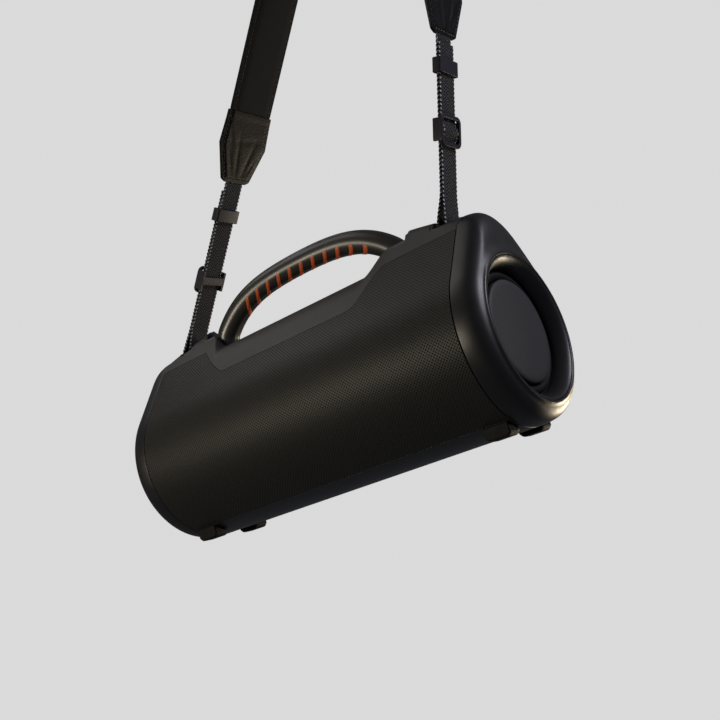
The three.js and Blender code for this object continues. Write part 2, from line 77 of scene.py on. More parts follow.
def housing_matrix():
    """Millimetres on the housing's own axes, x along the drum, to metres in the frame."""
    left, right = middle("strap_bar_left"), middle("strap_bar_right")
    tilt = math.atan2(right.z - left.z, right.x - left.x)
    up = Vector((-math.sin(tilt), 0, math.cos(tilt)))
    centre = (left + right) / 2 - up * BAR_HEIGHT * MM
    turn = Matrix.Rotation(-tilt, 4, "Y")
    return Matrix.Translation(centre) @ turn @ Matrix.Scale(MM, 4)


HOUSING = housing_matrix()
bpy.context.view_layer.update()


# ---- sizes and colours ------------------------------------------------------------------
def linear(hex_colour):
    """An sRGB hex colour as linear red, green and blue."""
    parts = [int(hex_colour[i:i + 2], 16) / 255 for i in (1, 3, 5)]
    return [c / 12.92 if c <= 0.04045 else ((c + 0.055) / 1.055) ** 2.4 for c in parts]


def length(name, millimetres, description):
    return FloatProperty(name=name, description=description, default=millimetres * MM,
                         precision=5, unit="LENGTH", subtype="DISTANCE")


def degrees(name, value, description):
    return FloatProperty(name=name, description=description, default=math.radians(value),
                         unit="ROTATION", subtype="ANGLE")


def colour(name, hex_colour, description):
    return FloatVectorProperty(name=name, description=description, size=3, min=0, max=1,
                               default=linear(hex_colour), subtype="COLOR")


class HousingSizes(bpy.types.PropertyGroup):
    """The drum, its saddle and shoulders, and the panels of its skin."""

    drum: length("Drum radius", 80, "Round lower part of the cross-section")
    saddle: length("Saddle height", 99, "Top of the body under the handle")
    rise: length("Shoulder rise", 24.5, "How far a shoulder stands above the saddle")
    fall: length("Shoulder fall", 13.5, "Drop from a shoulder's peak to the end cap")
    left_from: length("Left wall starts", 103, "Where the saddle's steep wall starts to rise")
    left_to: length("Left wall ends", 121, "Where the steep wall reaches the shoulder")
    right_from: length("Right wall starts", 78, "Where the saddle's long slope starts to rise")
    right_to: length("Right wall ends", 119, "Where the long slope reaches the shoulder")
    seam: length("Seam", 187, "From the middle to the seam of an end cap")
    grille_low: length("Grille height, middle", 65, "Top edge of the grille in the saddle")
    grille_high: length("Grille height, ends", 96, "Top edge of the grille on a shoulder")
    grille_skin: length("Grille thickness", 1.6, "Perforated sheet with its cloth")
    skin: length("Cover thickness", 2.5, "Wall of the moulded covers")
    gap: length("Gap", 0.3, "Between touching pieces")
    hole_pitch: length("Hole pitch", 2.3, "Between the holes of the grille")
    hole: length("Hole", 0.62, "Radius of a hole of the grille")
    bar_out: length("Bar distance", 166, "From the middle to a strap bar")


class HandleSizes(bpy.types.PropertyGroup):
    """The carry grip and the ribs let into its underside."""

    top: length("Grip height", 144, "Centre of the grip at mid-length above the axis")
    radius: length("Grip radius", 11.3, "Round of the grip")
    flat: length("Flat", 10.9, "Depth of the slight flat under the grip")
    arch_end: length("Arch end", 108, "Where the arch turns down into its socket")
    pitch: length("Rib pitch", 15.1, "Between two ribs")
    rib: length("Rib width", 5.4, "Width of one rib along the grip")
    ribs: IntProperty(name="Ribs", description="Number of ribs", default=11, min=1)


class StrapSizes(bpy.types.PropertyGroup):
    """The webbing, its buckles, the stitched ends and the shoulder pad."""

    web: length("Webbing width", 25, "Width of the webbing")
    web_thick: length("Webbing thickness", 1.6, "Thickness of the webbing")
    pad: length("Pad width", 57, "Width of the shoulder pad")
    thick: length("Pad thickness", 5, "Thickness of the pad and its ends")
    arc: length("Pad radius", 92, "Middle of the pad where it goes over its support")
    end: length("End piece", 70, "Length of a stitched end piece")
    tail_out: length("Tail offset", 2.3, "How far the tail lies outside the main strand")
    bar: length("Bar radius", 2.6, "Steel bar that the webbing goes round")
    left_slider: length("Left slider", 83, "Up the left leg from its bar")
    left_keeper: length("Left keeper", 152, "Up the left leg from its bar")
    left_tail: length("Left tail", 177, "Up the left leg from its bar")
    left_end: length("Left end piece", 186, "Up the left leg from its bar")
    right_slider: length("Right slider", 85, "Up the right leg from its bar")
    right_keeper: length("Right keeper", 141, "Up the right leg from its bar")
    right_tail: length("Right tail", 162, "Up the right leg from its bar")
    right_end: length("Right end piece", 168, "Up the right leg from its bar")


class FinishColours(bpy.types.PropertyGroup):
    """The colour of each finish."""

    housing: colour("Housing", "#18181a", "Moulded end caps, base and inner frames")
    # The top cover's paler colour is partly painted light, standing in for the light that falls
    # on its upward face.
    cover: colour("Top cover", "#2b2b2c", "Soft-touch top cover")
    grille: colour("Grille", "#262522", "Powder coat of the perforated grille")
    grip: colour("Grip", "#2c2b26", "Grip of the handle")
    ribs: colour("Ribs", "#dc6430", "Ribs under the grip")
    disc: colour("Radiator disc", "#2d2d2f", "Weighted disc at each end")
    rubber: colour("Rubber", "#121213", "Feet, surrounds, buttons and port cover")
    buckle: colour("Buckles", "#2e2d34", "Sliders and keepers of the strap")
    webbing: colour("Webbing", "#0d0d0e", "Woven strap")
    thread: colour("Edge thread", "#c9c8ce", "Pale picks along the webbing's edges")
    leather: colour("Leatherette", "#0b0b0c", "Stitched ends of the pad")
    pad: colour("Pad", "#0a0a0b", "Cover of the shoulder pad")
    steel: colour("Steel", "#8d8f92", "Anchors, driver baskets and magnets")


class StageSettings(bpy.types.PropertyGroup):
    """The camera, the backdrop and the light."""

    azimuth: degrees("Camera azimuth", 36.0, "Round from the front, towards the right end")
    elevation: degrees("Camera elevation", 0.6, "Above the horizon")
    roll: degrees("Camera roll", -0.43, "Lean of the camera")
    distance: length("Camera distance", 960.5, "From the aim to the camera")
    lens: FloatProperty(name="Lens", description="Focal length in millimetres",
                        default=50.93, unit="CAMERA")
    backdrop: colour("Backdrop", "#dadada", "Pale floor and backdrop")
    floor: length("Floor drop", 1600, "Floor below the hanging point")


GROUPS = {
    "speaker_housing": HousingSizes,
    "speaker_handle": HandleSizes,
    "speaker_strap": StrapSizes,
    "speaker_colours": FinishColours,
    "speaker_stage": StageSettings,
}


def in_mm(group):
    """A group's lengths as plain numbers in millimetres; its counts stay as they are."""
    values = getattr(bpy.context.scene, group)
    names = type(values).__annotations__
    return SimpleNamespace(**{
        n: getattr(values, n) if isinstance(getattr(values, n), int)
        else getattr(values, n) / MM for n in names})


# ---- meshes -----------------------------------------------------------------------------
def piece(name, form, material, body, slot, *nodes, matrix=HOUSING, lay=None, sharp=32):
    """A smooth-shaded mesh from a form in millimetres, riding on a body in place of nodes.

    A form is a list of points and a list of faces. lay is each point's place across and
    along the material's own grid. Edges that turn by more than sharp degrees stay crisp."""
    points, faces = form
    mesh = bpy.data.meshes.new(name)
    mesh.from_pydata([matrix @ Vector(p) for p in points], [], faces)
    if lay:
        values = [c for x, y in lay for c in (x, y, 0)]
        mesh.attributes.new("lay", "FLOAT_VECTOR", "POINT").data.foreach_set("vector", values)
    bm = bmesh.new()
    bm.from_mesh(mesh)
    bmesh.ops.remove_doubles(bm, verts=bm.verts, dist=0.01 * MM)
    bmesh.ops.recalc_face_normals(bm, faces=bm.faces)
    crisp(bm, mesh, sharp)
    mesh.materials.append(material)
    obj = bpy.data.objects.new(name, mesh)
    bpy.context.scene.collection.objects.link(obj)
    if body:
        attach(obj, body)
    if nodes:
        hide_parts(*nodes)
    return obj


def crisp(bm, mesh, sharp):
    """Smooths all but the sharp edges, and writes the result to the mesh."""
    for face in bm.faces:
        face.smooth = True
    for edge in bm.edges:
        if len(edge.link_faces) == 2:
            edge.smooth = edge.calc_face_angle() < math.radians(sharp)
    bm.to_mesh(mesh)
    bm.free()


def bevel(obj, width, segments=3, angle=40):
    """Rounds the edges that turn by more than angle degrees."""
    modifier = obj.modifiers.new("Edge round", "BEVEL")
    modifier.width = width * MM
    modifier.segments = segments
    modifier.limit_method = "ANGLE"
    modifier.angle_limit = math.radians(angle)


def subdivide(objects):
    for obj in objects:
        modifier = obj.modifiers.new("Subdivision", "SUBSURF")
        modifier.levels = modifier.render_levels = 1


def carve(obj, cutters, sharp=32):
    """Cuts the cutters out of obj for good and removes them."""
    for tool in cutters:
        modifier = obj.modifiers.new("Cut", "BOOLEAN")
        modifier.object = tool
        modifier.solver = "EXACT"
    bpy.context.view_layer.update()
    evaluated = obj.evaluated_get(bpy.context.evaluated_depsgraph_get())
    obj.data = bpy.data.meshes.new_from_object(evaluated)
    obj.modifiers.clear()
    for tool in cutters:
        bpy.data.objects.remove(tool)
    bm = bmesh.new()
    bm.from_mesh(obj.data)
    crisp(bm, obj.data, sharp)


def joined(forms):
    """One form out of several."""
    points, faces = [], []
    for more_points, more_faces in forms:
        faces += [tuple(len(points) + i for i in face) for face in more_faces]
        points += more_points
    return points, faces


def rings(loops, closed=False):
    """The form of a skin over loops of points; its ends are capped, or joined."""
    size = len(loops[0])
    points = [p for loop in loops for p in loop]
    last = len(points) - size
    faces = []
    for a in range(0, last + size if closed else last, size):
        b = (a + size) % len(points)
        for j in range(size):
            k = (j + 1) % size
            faces.append((a + j, a + k, b + k, b + j))
    if not closed:
        faces += [tuple(range(size))[::-1], tuple(last + j for j in range(size))]
    return points, faces


def shell(outer, inner, skip=None):
    """The form of a sheet between two grids, walled round its rim and its holes."""
    rows, columns = len(outer), len(outer[0])
    points = [p for grid in (outer, inner) for row in grid for p in row]
    below = rows * columns
    faces, edges = [], Counter()
    for i in range(rows - 1):
        for j in range(columns - 1):
            if skip and skip(i, j):
                continue
            a = i * columns + j
            quad = (a, a + 1, a + columns + 1, a + columns)
            faces += [quad, tuple(below + v for v in quad[::-1])]
            edges.update(zip(quad, quad[1:] + quad[:1]))
    for a, b in edges:
        if (b, a) not in edges:
            faces.append((b, a, a + below, b + below))
    return points, faces


def circle(segments):
    """(cosine, sine) once round."""
    turns = spread(0, 2 * math.pi, segments)[:-1]
    return [(math.cos(a), math.sin(a)) for a in turns]


def rounded_rectangle(width, height, radius, steps=6):
    """Corner points of a rounded rectangle about the origin, once round."""
    loop = []
    for quarter, (sx, sy) in enumerate(((1, 1), (-1, 1), (-1, -1), (1, -1))):
        for i in range(steps + 1):
            a = QUARTER * (quarter + i / steps)
            loop.append((sx * (width / 2 - radius) + radius * math.cos(a),
                         sy * (height / 2 - radius) + radius * math.sin(a)))
    return loop


def prism(loop, low, high, place=lambda u, v, w: (u, v, w)):
    """A closed loop of 2-D points drawn out from low to high; place turns them to 3-D."""
    return rings([[place(u, v, w) for u, v in loop] for w in (low, high)])


def cutter(name, loop, low, high):
    return piece(name, prism(loop, low, high), None, None, "housing")


def spread(low, high, steps):
    return [low + (high - low) * i / steps for i in range(steps + 1)]


def smooth(a, b, value):
    t = min(1, max(0, (value - a) / (b - a)))
    return t * t * (3 - 2 * t)


# ---- the housing's form -----------------------------------------------------------------
FLANK = math.radians(38)       # how far the straight flanks face upward
BASE_ANGLE = math.radians(62)  # the grilles end this far below the horizon
PEAK = 116                     # where the shoulders start to fall to the end caps
GRILLE_LEFT = (84, 122)        # distances over which the grille's top edge climbs
GRILLE_RIGHT = (73, 110)
PORT_HALF = 44.3               # half the rear grille's opening for the port, along x
PORT_LOW, PORT_HIGH = -36.3, -3.7
SLOT_LEAN = 3.5                # the strap slots reach further to the right, as the straps do


class Section:
    """A drum below, two straight flanks and a smaller arc over the top."""

    def __init__(self, radius, top):
        self.radius = radius
        self.centre = (top - radius) / (1 - math.sin(FLANK))
        self.small = radius - self.centre * math.sin(FLANK)
        self.over = self.small * (QUARTER - FLANK)
        self.flank = self.centre * math.cos(FLANK)
        self.half = self.over + self.flank + radius * (QUARTER + FLANK)

    def point(self, s, depth=0):
        """(y, z) at a distance s round from the top, the front negative, sunk by depth."""
        d = abs(s)
        if d < self.over:
            a, r, centre = QUARTER - d / self.small, self.small, self.centre
        elif d < self.over + self.flank:
            f = (d - self.over) / self.flank
            a, centre = FLANK, (1 - f) * self.centre
            r = self.small + f * (self.radius - self.small)
        else:
            a, r, centre = FLANK - (d - self.over - self.flank) / self.radius, self.radius, 0
        side = -1 if s < 0 else 1
        return side * (r - depth) * math.cos(a), centre + (r - depth) * math.sin(a)

    def at_height(self, z):
        """The distance round to where the rear skin is at height z."""
        top = self.centre + self.small * math.sin(FLANK)
        if z > top:
            return self.small * (QUARTER - math.asin((z - self.centre) / self.small))
        if z > self.radius * math.sin(FLANK):
            return self.over + (top - z) / math.cos(FLANK)
        return self.over + self.flank + self.radius * (FLANK - math.asin(z / self.radius))

    def base_edge(self):
        """The distance round to the edge of the base panel."""
        return self.half - self.radius * (QUARTER - BASE_ANGLE)


def body_section(x):
    h = in_mm("speaker_housing")
    a = abs(x)
    fall = max(0, (a - PEAK) / (h.seam - PEAK))
    up = smooth(h.left_from, h.left_to, a) if x < 0 else smooth(h.right_from, h.right_to, a)
    return Section(h.drum, h.saddle + h.rise * up - h.fall * fall ** 1.3)


def grille_top(x, section):
    """Distance round from the top to the upper edge of a grille.

    The edge climbs in an S on the right, and in a curve ending in a corner on the left."""
    h = in_mm("speaker_housing")
    if x < 0:
        up = min(1, max(0, (-x - GRILLE_LEFT[0]) / (GRILLE_LEFT[1] - GRILLE_LEFT[0]))) ** 1.45
    else:
        up = smooth(*GRILLE_RIGHT, x)
    return section.at_height(h.grille_low + (h.grille_high - h.grille_low) * up)


def skin_stations():
    """Where the skin has its cross-sections, closest together on the saddle's walls."""
    h = in_mm("speaker_housing")
    edge = h.seam - h.gap
    marks = (-edge, -124, -82, -PORT_HALF, PORT_HALF, 72, 122, edge)
    xs = [-edge]
    for low, high, step in zip(marks, marks[1:], (2.1, 1, 2.1, 2.2, 2.1, 1.25, 2.1)):
        xs += spread(low, high, round((high - low) / step))[1:]
    return xs


def panel(xs, knots, counts, depth, side=1, skip=None):
    """The form of a sheet of the skin, and its lay.

    knots(x, section) gives the distances round at which the rows' spacing changes, and
    counts the rows between them."""
    outer, inner, lay = [], [], []
    for x in xs:
        section = body_section(x)
        marks = knots(x, section)
        rows = [marks[0]]
        for low, high, steps in zip(marks, marks[1:], counts):
            rows += spread(low, high, steps)[1:]
        outer.append([(x, *section.point(side * s)) for s in rows])
        inner.append([(x, *section.point(side * s, depth)) for s in rows])
        lay += [(x, section.half - s) for s in rows]
    return shell(outer, inner, skip), lay * 2


def loft(profile, segments=96):
    """The form of a body round the x axis through a closed profile of (x, radius, top)."""
    sections = [(x, Section(radius, top)) for x, radius, top in profile]
    return rings([[(x, *section.point(turn * section.half)) for x, section in sections]
                  for turn in spread(-1, 1, segments)[:-1]], closed=True)


def turned(profile, segments=96):
    """A loft of circles through a closed profile of (radius, x)."""
    return loft([(x, radius, radius) for radius, x in profile], segments)


def both_ends(name, form, material, slot, node, body="housing"):
    """A piece at each end of the drum, the left one turned half round."""
    points, faces = form
    turned_round = [(-x, -y, z) for x, y, z in points], faces
    return [piece(f"{name}_{end}", shape, material, body.format(end), slot, f"{node}_{end}")
            for end, shape in (("right", form), ("left", turned_round))]


# ---- materials --------------------------------------------------------------------------
def node(tree, kind, inputs=None, **settings):
    """Adds a node with its settings; an input that is another node's socket is linked."""
    made = tree.nodes.new(kind)
    for key, value in settings.items():
        setattr(made, key, value)
    for key, value in (inputs or {}).items():
        if isinstance(value, bpy.types.NodeSocket):
            tree.links.new(value, made.inputs[key])
        else:
            made.inputs[key].default_value = value
    return made


def finish(name, colour_name, roughness, **sockets):
    """A new material with one Principled shader in a finish colour: tree, shader, colour."""
    material = bpy.data.materials.new(name)
    material.use_nodes = True
    tree = material.node_tree
    shader = tree.nodes["Principled BSDF"]
    if colour_name.startswith("#"):
        base = (*linear(colour_name), 1)
    else:
        base = (*getattr(bpy.context.scene.speaker_colours, colour_name), 1)
    shader.inputs["Base Color"].default_value = base
    shader.inputs["Roughness"].default_value = roughness
    for key, value in sockets.items():
        shader.inputs[key.replace("_", " ")].default_value = value
    return material, tree, shader, base


def scaled(rgba, factor):
    return (*[min(1, c * factor) for c in rgba[:3]], 1)


def millimetre_coordinates(tree):
    """The surface's own coordinates in millimetres, fixed to the piece."""
    place = node(tree, "ShaderNodeTexCoord")
    scale = node(tree, "ShaderNodeVectorMath", {0: place.outputs["Object"], "Scale": 1 / MM},
                 operation="SCALE")
    return scale.outputs["Vector"]


def lay_coordinates(tree):
    """The piece's lay, whole and split into across (X) and along (Y)."""
    lay = node(tree, "ShaderNodeAttribute", attribute_name="lay")
    parts = node(tree, "ShaderNodeSeparateXYZ", {"Vector": lay.outputs["Vector"]})
    return lay.outputs["Vector"], parts.outputs


def grain(tree, shader, base, size, depth, mottle=0.12, spotted=8, roughness=None):
    """Fine grain of a given size and depth in millimetres, and slow mottling of the colour."""
    where = millimetre_coordinates(tree)
    fine = node(tree, "ShaderNodeTexNoise", {"Vector": where, "Scale": 1 / size, "Detail": 2})
    slow = node(tree, "ShaderNodeTexNoise", {"Vector": where, "Scale": 1 / spotted})
    mix = node(tree, "ShaderNodeMix", {
        "Factor": slow.outputs["Fac"], "A": scaled(base, 1 - mottle),
        "B": scaled(base, 1 + mottle)}, data_type="RGBA")
    tree.links.new(mix.outputs["Result"], shader.inputs["Base Color"])
    bump = node(tree, "ShaderNodeBump", {"Height": fine.outputs["Fac"], "Distance": depth * MM,
                                         "Strength": 0.6})
    tree.links.new(bump.outputs["Normal"], shader.inputs["Normal"])
    if roughness:
        ramp = node(tree, "ShaderNodeMapRange", {
            "Value": slow.outputs["Fac"], "To Min": roughness[0], "To Max": roughness[1]})
        tree.links.new(ramp.outputs["Result"], shader.inputs["Roughness"])
    return mix


def edge_wear(tree, shader, mix, rub, radius):
    """Lighter, rubbed colour where an edge of the piece is sharper than radius."""
    rounded = node(tree, "ShaderNodeBevel", {"Radius": radius * MM}, samples=4)
    true = node(tree, "ShaderNodeNewGeometry")
    turn = node(tree, "ShaderNodeVectorMath", {
        0: rounded.outputs["Normal"], 1: true.outputs["Normal"]}, operation="DOT_PRODUCT")
    worn = node(tree, "ShaderNodeMapRange", {
        "Value": turn.outputs["Value"], "From Min": 0.99, "From Max": 0.8, "To Max": 0.6})
    rubbed = node(tree, "ShaderNodeMix", {
        "Factor": worn.outputs["Result"], "A": mix.outputs["Result"], "B": rub},
        data_type="RGBA")
    tree.links.new(rubbed.outputs["Result"], shader.inputs["Base Color"])


MATERIALS = {}


def shared(make):
    """Makes a material once and gives the same one after that."""
    def get():
        if make.__name__ not in MATERIALS:
            MATERIALS[make.__name__] = make()
        return MATERIALS[make.__name__]
    return get


@shared
def spark_eroded_abs():
    # Black ABS moulded against a spark-eroded tool: a satin skin with a fine even grain,
    # a soft wide highlight, and corners that are rubbed a little paler.
    material, tree, shader, base = finish("spark_eroded_abs", "housing", 0.4)
    mix = grain(tree, shader, base, size=0.9, depth=0.05, roughness=(0.34, 0.46))
    edge_wear(tree, shader, mix, scaled(base, 1.3), radius=0.5)
    return material


@shared
def soft_touch_cover_painted_light():
    # ABS with a soft-touch lacquer: flatter and paler than the caps, almost no highlight. The
    # paler colour is partly painted light, standing in for the light that falls on the top's
    # upward face.
    material, tree, shader, base = finish("soft_touch_lacquer_with_painted_light", "cover", 0.55)
    mix = grain(tree, shader, base, size=0.7, depth=0.03, mottle=0.08, spotted=14,
                roughness=(0.5, 0.6))
    edge_wear(tree, shader, mix, scaled(base, 1.7), radius=0.7)
    return material


@shared
def powder_coated_perforated_steel():
    # Perforated steel sheet under a satin powder coat: round holes in diagonal rows that
    # look black, with bright rims between them.
    # The real holes are about 1 mm apart; they are drawn twice as coarse so that they show.
    sizes = in_mm("speaker_housing")
    material, tree, shader, base = finish("powder_coated_perforated_steel", "grille", 0.5,
                                          Specular_IOR_Level=0.35)
    where, _ = lay_coordinates(tree)
    turned_grid = node(tree, "ShaderNodeVectorRotate", {
        "Vector": where, "Angle": math.radians(45)}, rotation_type="Z_AXIS")
    cells = node(tree, "ShaderNodeVectorMath", {
        0: turned_grid.outputs["Vector"], "Scale": 1 / sizes.hole_pitch}, operation="SCALE")
    part = node(tree, "ShaderNodeVectorMath", {0: cells.outputs["Vector"]},
                operation="FRACTION")
    flat = node(tree, "ShaderNodeVectorMath", {
        0: part.outputs["Vector"], 1: (1, 1, 0)}, operation="MULTIPLY")
    away = node(tree, "ShaderNodeVectorMath", {
        0: flat.outputs["Vector"], 1: (0.5, 0.5, 0)}, operation="DISTANCE")
    radius = sizes.hole / sizes.hole_pitch
    metal = node(tree, "ShaderNodeMapRange", {
        "Value": away.outputs["Value"], "From Min": radius * 0.8, "From Max": radius * 1.2})
    slow = node(tree, "ShaderNodeTexNoise", {
        "Vector": millimetre_coordinates(tree), "Scale": 1 / 30})
    coat = node(tree, "ShaderNodeMix", {
        "Factor": slow.outputs["Fac"], "A": scaled(base, 0.85), "B": scaled(base, 1.15)},
        data_type="RGBA")
    mix = node(tree, "ShaderNodeMix", {
        "Factor": metal.outputs["Result"], "A": (0.002, 0.002, 0.002, 1),
        "B": coat.outputs["Result"]}, data_type="RGBA")
    tree.links.new(mix.outputs["Result"], shader.inputs["Base Color"])
    dull = node(tree, "ShaderNodeMapRange", {
        "Value": metal.outputs["Result"], "To Min": 0.9, "To Max": 0.5})
    tree.links.new(dull.outputs["Result"], shader.inputs["Roughness"])
    bump = node(tree, "ShaderNodeBump", {
        "Height": metal.outputs["Result"], "Distance": 0.4 * MM, "Strength": 0.7})
    tree.links.new(bump.outputs["Normal"], shader.inputs["Normal"])
    return material


@shared
def satin_tpu_grip():
    # Thermoplastic polyurethane over a core: a smooth satin skin with an olive cast and one
    # long soft highlight.
    material, tree, shader, base = finish("satin_tpu", "grip", 0.34,
                                          Specular_IOR_Level=0.7)
    grain(tree, shader, base, size=1.4, depth=0.02, mottle=0.1, spotted=20,
          roughness=(0.3, 0.4))
    return material


@shared
def silicone_ribs():
    # Moulded silicone: strong colour, soft sheen.
    material, tree, shader, base = finish("moulded_silicone", "ribs", 0.5,
                                          Subsurface_Weight=0.05)
    grain(tree, shader, base, size=1.0, depth=0.03, mottle=0.2, spotted=5)
    return material


@shared
def coated_disc():
    # Aluminium disc under a matte baked coat: an even mid grey with a fine orange peel.
    material, tree, shader, base = finish("matte_baked_coat", "disc", 0.62)
    grain(tree, shader, base, size=1.1, depth=0.03, mottle=0.06, spotted=18,
          roughness=(0.58, 0.68))
    return material


@shared
def moulded_rubber():
    # Vulcanised rubber from a bead-blasted mould: dull, nearly black, faint dusty bloom.
    material, tree, shader, base = finish("moulded_rubber", "rubber", 0.7,
                                          Specular_IOR_Level=0.2)
    grain(tree, shader, base, size=0.8, depth=0.05, mottle=0.25, spotted=10,
          roughness=(0.6, 0.78))
    return material


@shared
def moulded_acetal():
    # Acetal moulded in a polished tool: a slightly waxy grey with paler rubbed edges.
    material, tree, shader, base = finish("moulded_acetal", "buckle", 0.5,
                                          Specular_IOR_Level=0.15)
    mix = grain(tree, shader, base, size=0.6, depth=0.03, mottle=0.1,
                roughness=(0.36, 0.48))
    edge_wear(tree, shader, mix, scaled(base, 2.4), radius=0.6)
    return material


@shared
def woven_polyester():
    # Polyester webbing, woven in a herringbone of 1.5 mm picks, with a pale thread that
    # shows as a row of bold dots along each edge. The picks are drawn at twice their size.
    pick, step = 3.0, 1.9
    material, tree, shader, base = finish("woven_polyester", "webbing", 0.85,
                                          Specular_IOR_Level=0.15)
    thread = (*bpy.context.scene.speaker_colours.thread, 1)
    where, parts = lay_coordinates(tree)
    across = node(tree, "ShaderNodeMath", {0: parts["X"]}, operation="ABSOLUTE")
    lean = node(tree, "ShaderNodeMath", {
        0: across.outputs["Value"], 1: 6.2}, operation="PINGPONG")
    slant = node(tree, "ShaderNodeMath", {
        0: lean.outputs["Value"], 1: 0.9, 2: parts["Y"]}, operation="MULTIPLY_ADD")
    turns = node(tree, "ShaderNodeMath", {
        0: slant.outputs["Value"], 1: 2 * math.pi / pick}, operation="MULTIPLY")
    wave = node(tree, "ShaderNodeMath", {0: turns.outputs["Value"]}, operation="SINE")
    ridge = node(tree, "ShaderNodeMapRange", {
        "Value": wave.outputs["Value"], "From Min": -1, "From Max": 1})
    fuzz = node(tree, "ShaderNodeTexNoise", {"Vector": where, "Scale": 1.2, "Detail": 3})
    yarn = node(tree, "ShaderNodeMath", {
        0: ridge.outputs["Result"], 1: fuzz.outputs["Fac"]}, operation="MULTIPLY")
    cloth = node(tree, "ShaderNodeMix", {
        "Factor": yarn.outputs["Value"], "A": scaled(base, 0.3), "B": scaled(base, 32)},
        data_type="RGBA")
    # The edge dots: one pale pick in every two steps, 1 mm in from the edge.
    edge = node(tree, "ShaderNodeMath", {
        0: across.outputs["Value"], 1: 11.4, 2: 0.65}, operation="COMPARE")
    beat = node(tree, "ShaderNodeMath", {0: parts["Y"], 1: step}, operation="PINGPONG")
    dot = node(tree, "ShaderNodeMath", {
        0: beat.outputs["Value"], 1: step / 2}, operation="GREATER_THAN")
    pale = node(tree, "ShaderNodeMath", {
        0: edge.outputs["Value"], 1: dot.outputs["Value"]}, operation="MULTIPLY")
    dotted = node(tree, "ShaderNodeMix", {
        "Factor": pale.outputs["Value"], "A": cloth.outputs["Result"], "B": thread},
        data_type="RGBA")
    tree.links.new(dotted.outputs["Result"], shader.inputs["Base Color"])
    bump = node(tree, "ShaderNodeBump", {
        "Height": yarn.outputs["Value"], "Distance": 0.5 * MM, "Strength": 0.8})
    tree.links.new(bump.outputs["Normal"], shader.inputs["Normal"])
    return material


@shared
def pressed_leatherette():
    # PU leatherette: a glossy black film pressed with a small pebble grain, so the light
    # breaks up in its creases.
    material, tree, shader, base = finish("pressed_pu_leatherette", "leather", 0.45,
                                          Specular_IOR_Level=0.12)
    where = millimetre_coordinates(tree)
    pebble = node(tree, "ShaderNodeTexVoronoi", {"Vector": where, "Scale": 1 / 1.6},
                  feature="SMOOTH_F1")
    slow = node(tree, "ShaderNodeTexNoise", {"Vector": where, "Scale": 1 / 9})
    mix = node(tree, "ShaderNodeMix", {
        "Factor": slow.outputs["Fac"], "A": scaled(base, 0.7), "B": scaled(base, 1.8)},
        data_type="RGBA")
    tree.links.new(mix.outputs["Result"], shader.inputs["Base Color"])
    gloss = node(tree, "ShaderNodeMapRange", {
        "Value": slow.outputs["Fac"], "To Min": 0.36, "To Max": 0.55})
    tree.links.new(gloss.outputs["Result"], shader.inputs["Roughness"])
    bump = node(tree, "ShaderNodeBump", {
        "Height": pebble.outputs["Distance"], "Distance": 0.25 * MM, "Strength": 0.6})
    tree.links.new(bump.outputs["Normal"], shader.inputs["Normal"])
    return material


@shared
def knitted_pad_cover():
    # Nylon jersey bonded to foam: matte black with fine wales that run along the pad.
    wale = 1.8
    material, tree, shader, base = finish("nylon_jersey_on_foam", "pad", 0.82,
                                          Specular_IOR_Level=0.25)
    _, parts = lay_coordinates(tree)
    turns = node(tree, "ShaderNodeMath", {
        0: parts["X"], 1: 2 * math.pi / wale}, operation="MULTIPLY")
    wave = node(tree, "ShaderNodeMath", {0: turns.outputs["Value"]}, operation="SINE")
    steps = node(tree, "ShaderNodeMath", {
        0: parts["Y"], 1: 2 * math.pi / wale}, operation="MULTIPLY")
    loops = node(tree, "ShaderNodeMath", {0: steps.outputs["Value"]}, operation="SINE")
    knit = node(tree, "ShaderNodeMath", {
        0: wave.outputs["Value"], 1: loops.outputs["Value"]}, operation="MULTIPLY")
    level = node(tree, "ShaderNodeMapRange", {
        "Value": knit.outputs["Value"], "From Min": -1, "From Max": 1})
    mix = node(tree, "ShaderNodeMix", {
        "Factor": level.outputs["Result"], "A": scaled(base, 0.7), "B": scaled(base, 1.5)},
        data_type="RGBA")
    tree.links.new(mix.outputs["Result"], shader.inputs["Base Color"])
    bump = node(tree, "ShaderNodeBump", {
        "Height": level.outputs["Result"], "Distance": 0.2 * MM, "Strength": 0.5})
    tree.links.new(bump.outputs["Normal"], shader.inputs["Normal"])
    return material


@shared
def bonded_thread():
    # Bonded nylon thread: dark, slightly shiny twist.
    material, tree, shader, base = finish("bonded_nylon_thread", "#2b2b2e", 0.5)
    grain(tree, shader, base, size=0.5, depth=0.06, mottle=0.3, spotted=3)
    return material


@shared
def brushed_steel():
    # Zinc-plated steel, brushed: a cool metal with fine streaks along x.
    material, tree, shader, base = finish("brushed_zinc_plated_steel", "steel", 0.34,
                                          Metallic=1.0)
    where = millimetre_coordinates(tree)
    stretched = node(tree, "ShaderNodeVectorMath", {0: where, 1: (0.06, 1.4, 1.4)},
                     operation="MULTIPLY")
    streaks = node(tree, "ShaderNodeTexNoise", {
        "Vector": stretched.outputs["Vector"], "Scale": 1, "Detail": 3})
    mix = node(tree, "ShaderNodeMix", {
        "Factor": streaks.outputs["Fac"], "A": scaled(base, 0.75), "B": scaled(base, 1.1)},
        data_type="RGBA")
    tree.links.new(mix.outputs["Result"], shader.inputs["Base Color"])
    dull = node(tree, "ShaderNodeMapRange", {
        "Value": streaks.outputs["Fac"], "To Min": 0.25, "To Max": 0.45})
    tree.links.new(dull.outputs["Result"], shader.inputs["Roughness"])
    return material


@shared
def blackened_steel():
    # Steel under a black oxide: a dark, dull metal with a faint mottle.
    material, tree, shader, base = finish("black_oxide_steel", "#1d1d1f", 0.5, Metallic=1.0)
    grain(tree, shader, base, size=0.8, depth=0.02, mottle=0.15, spotted=5)
    return material


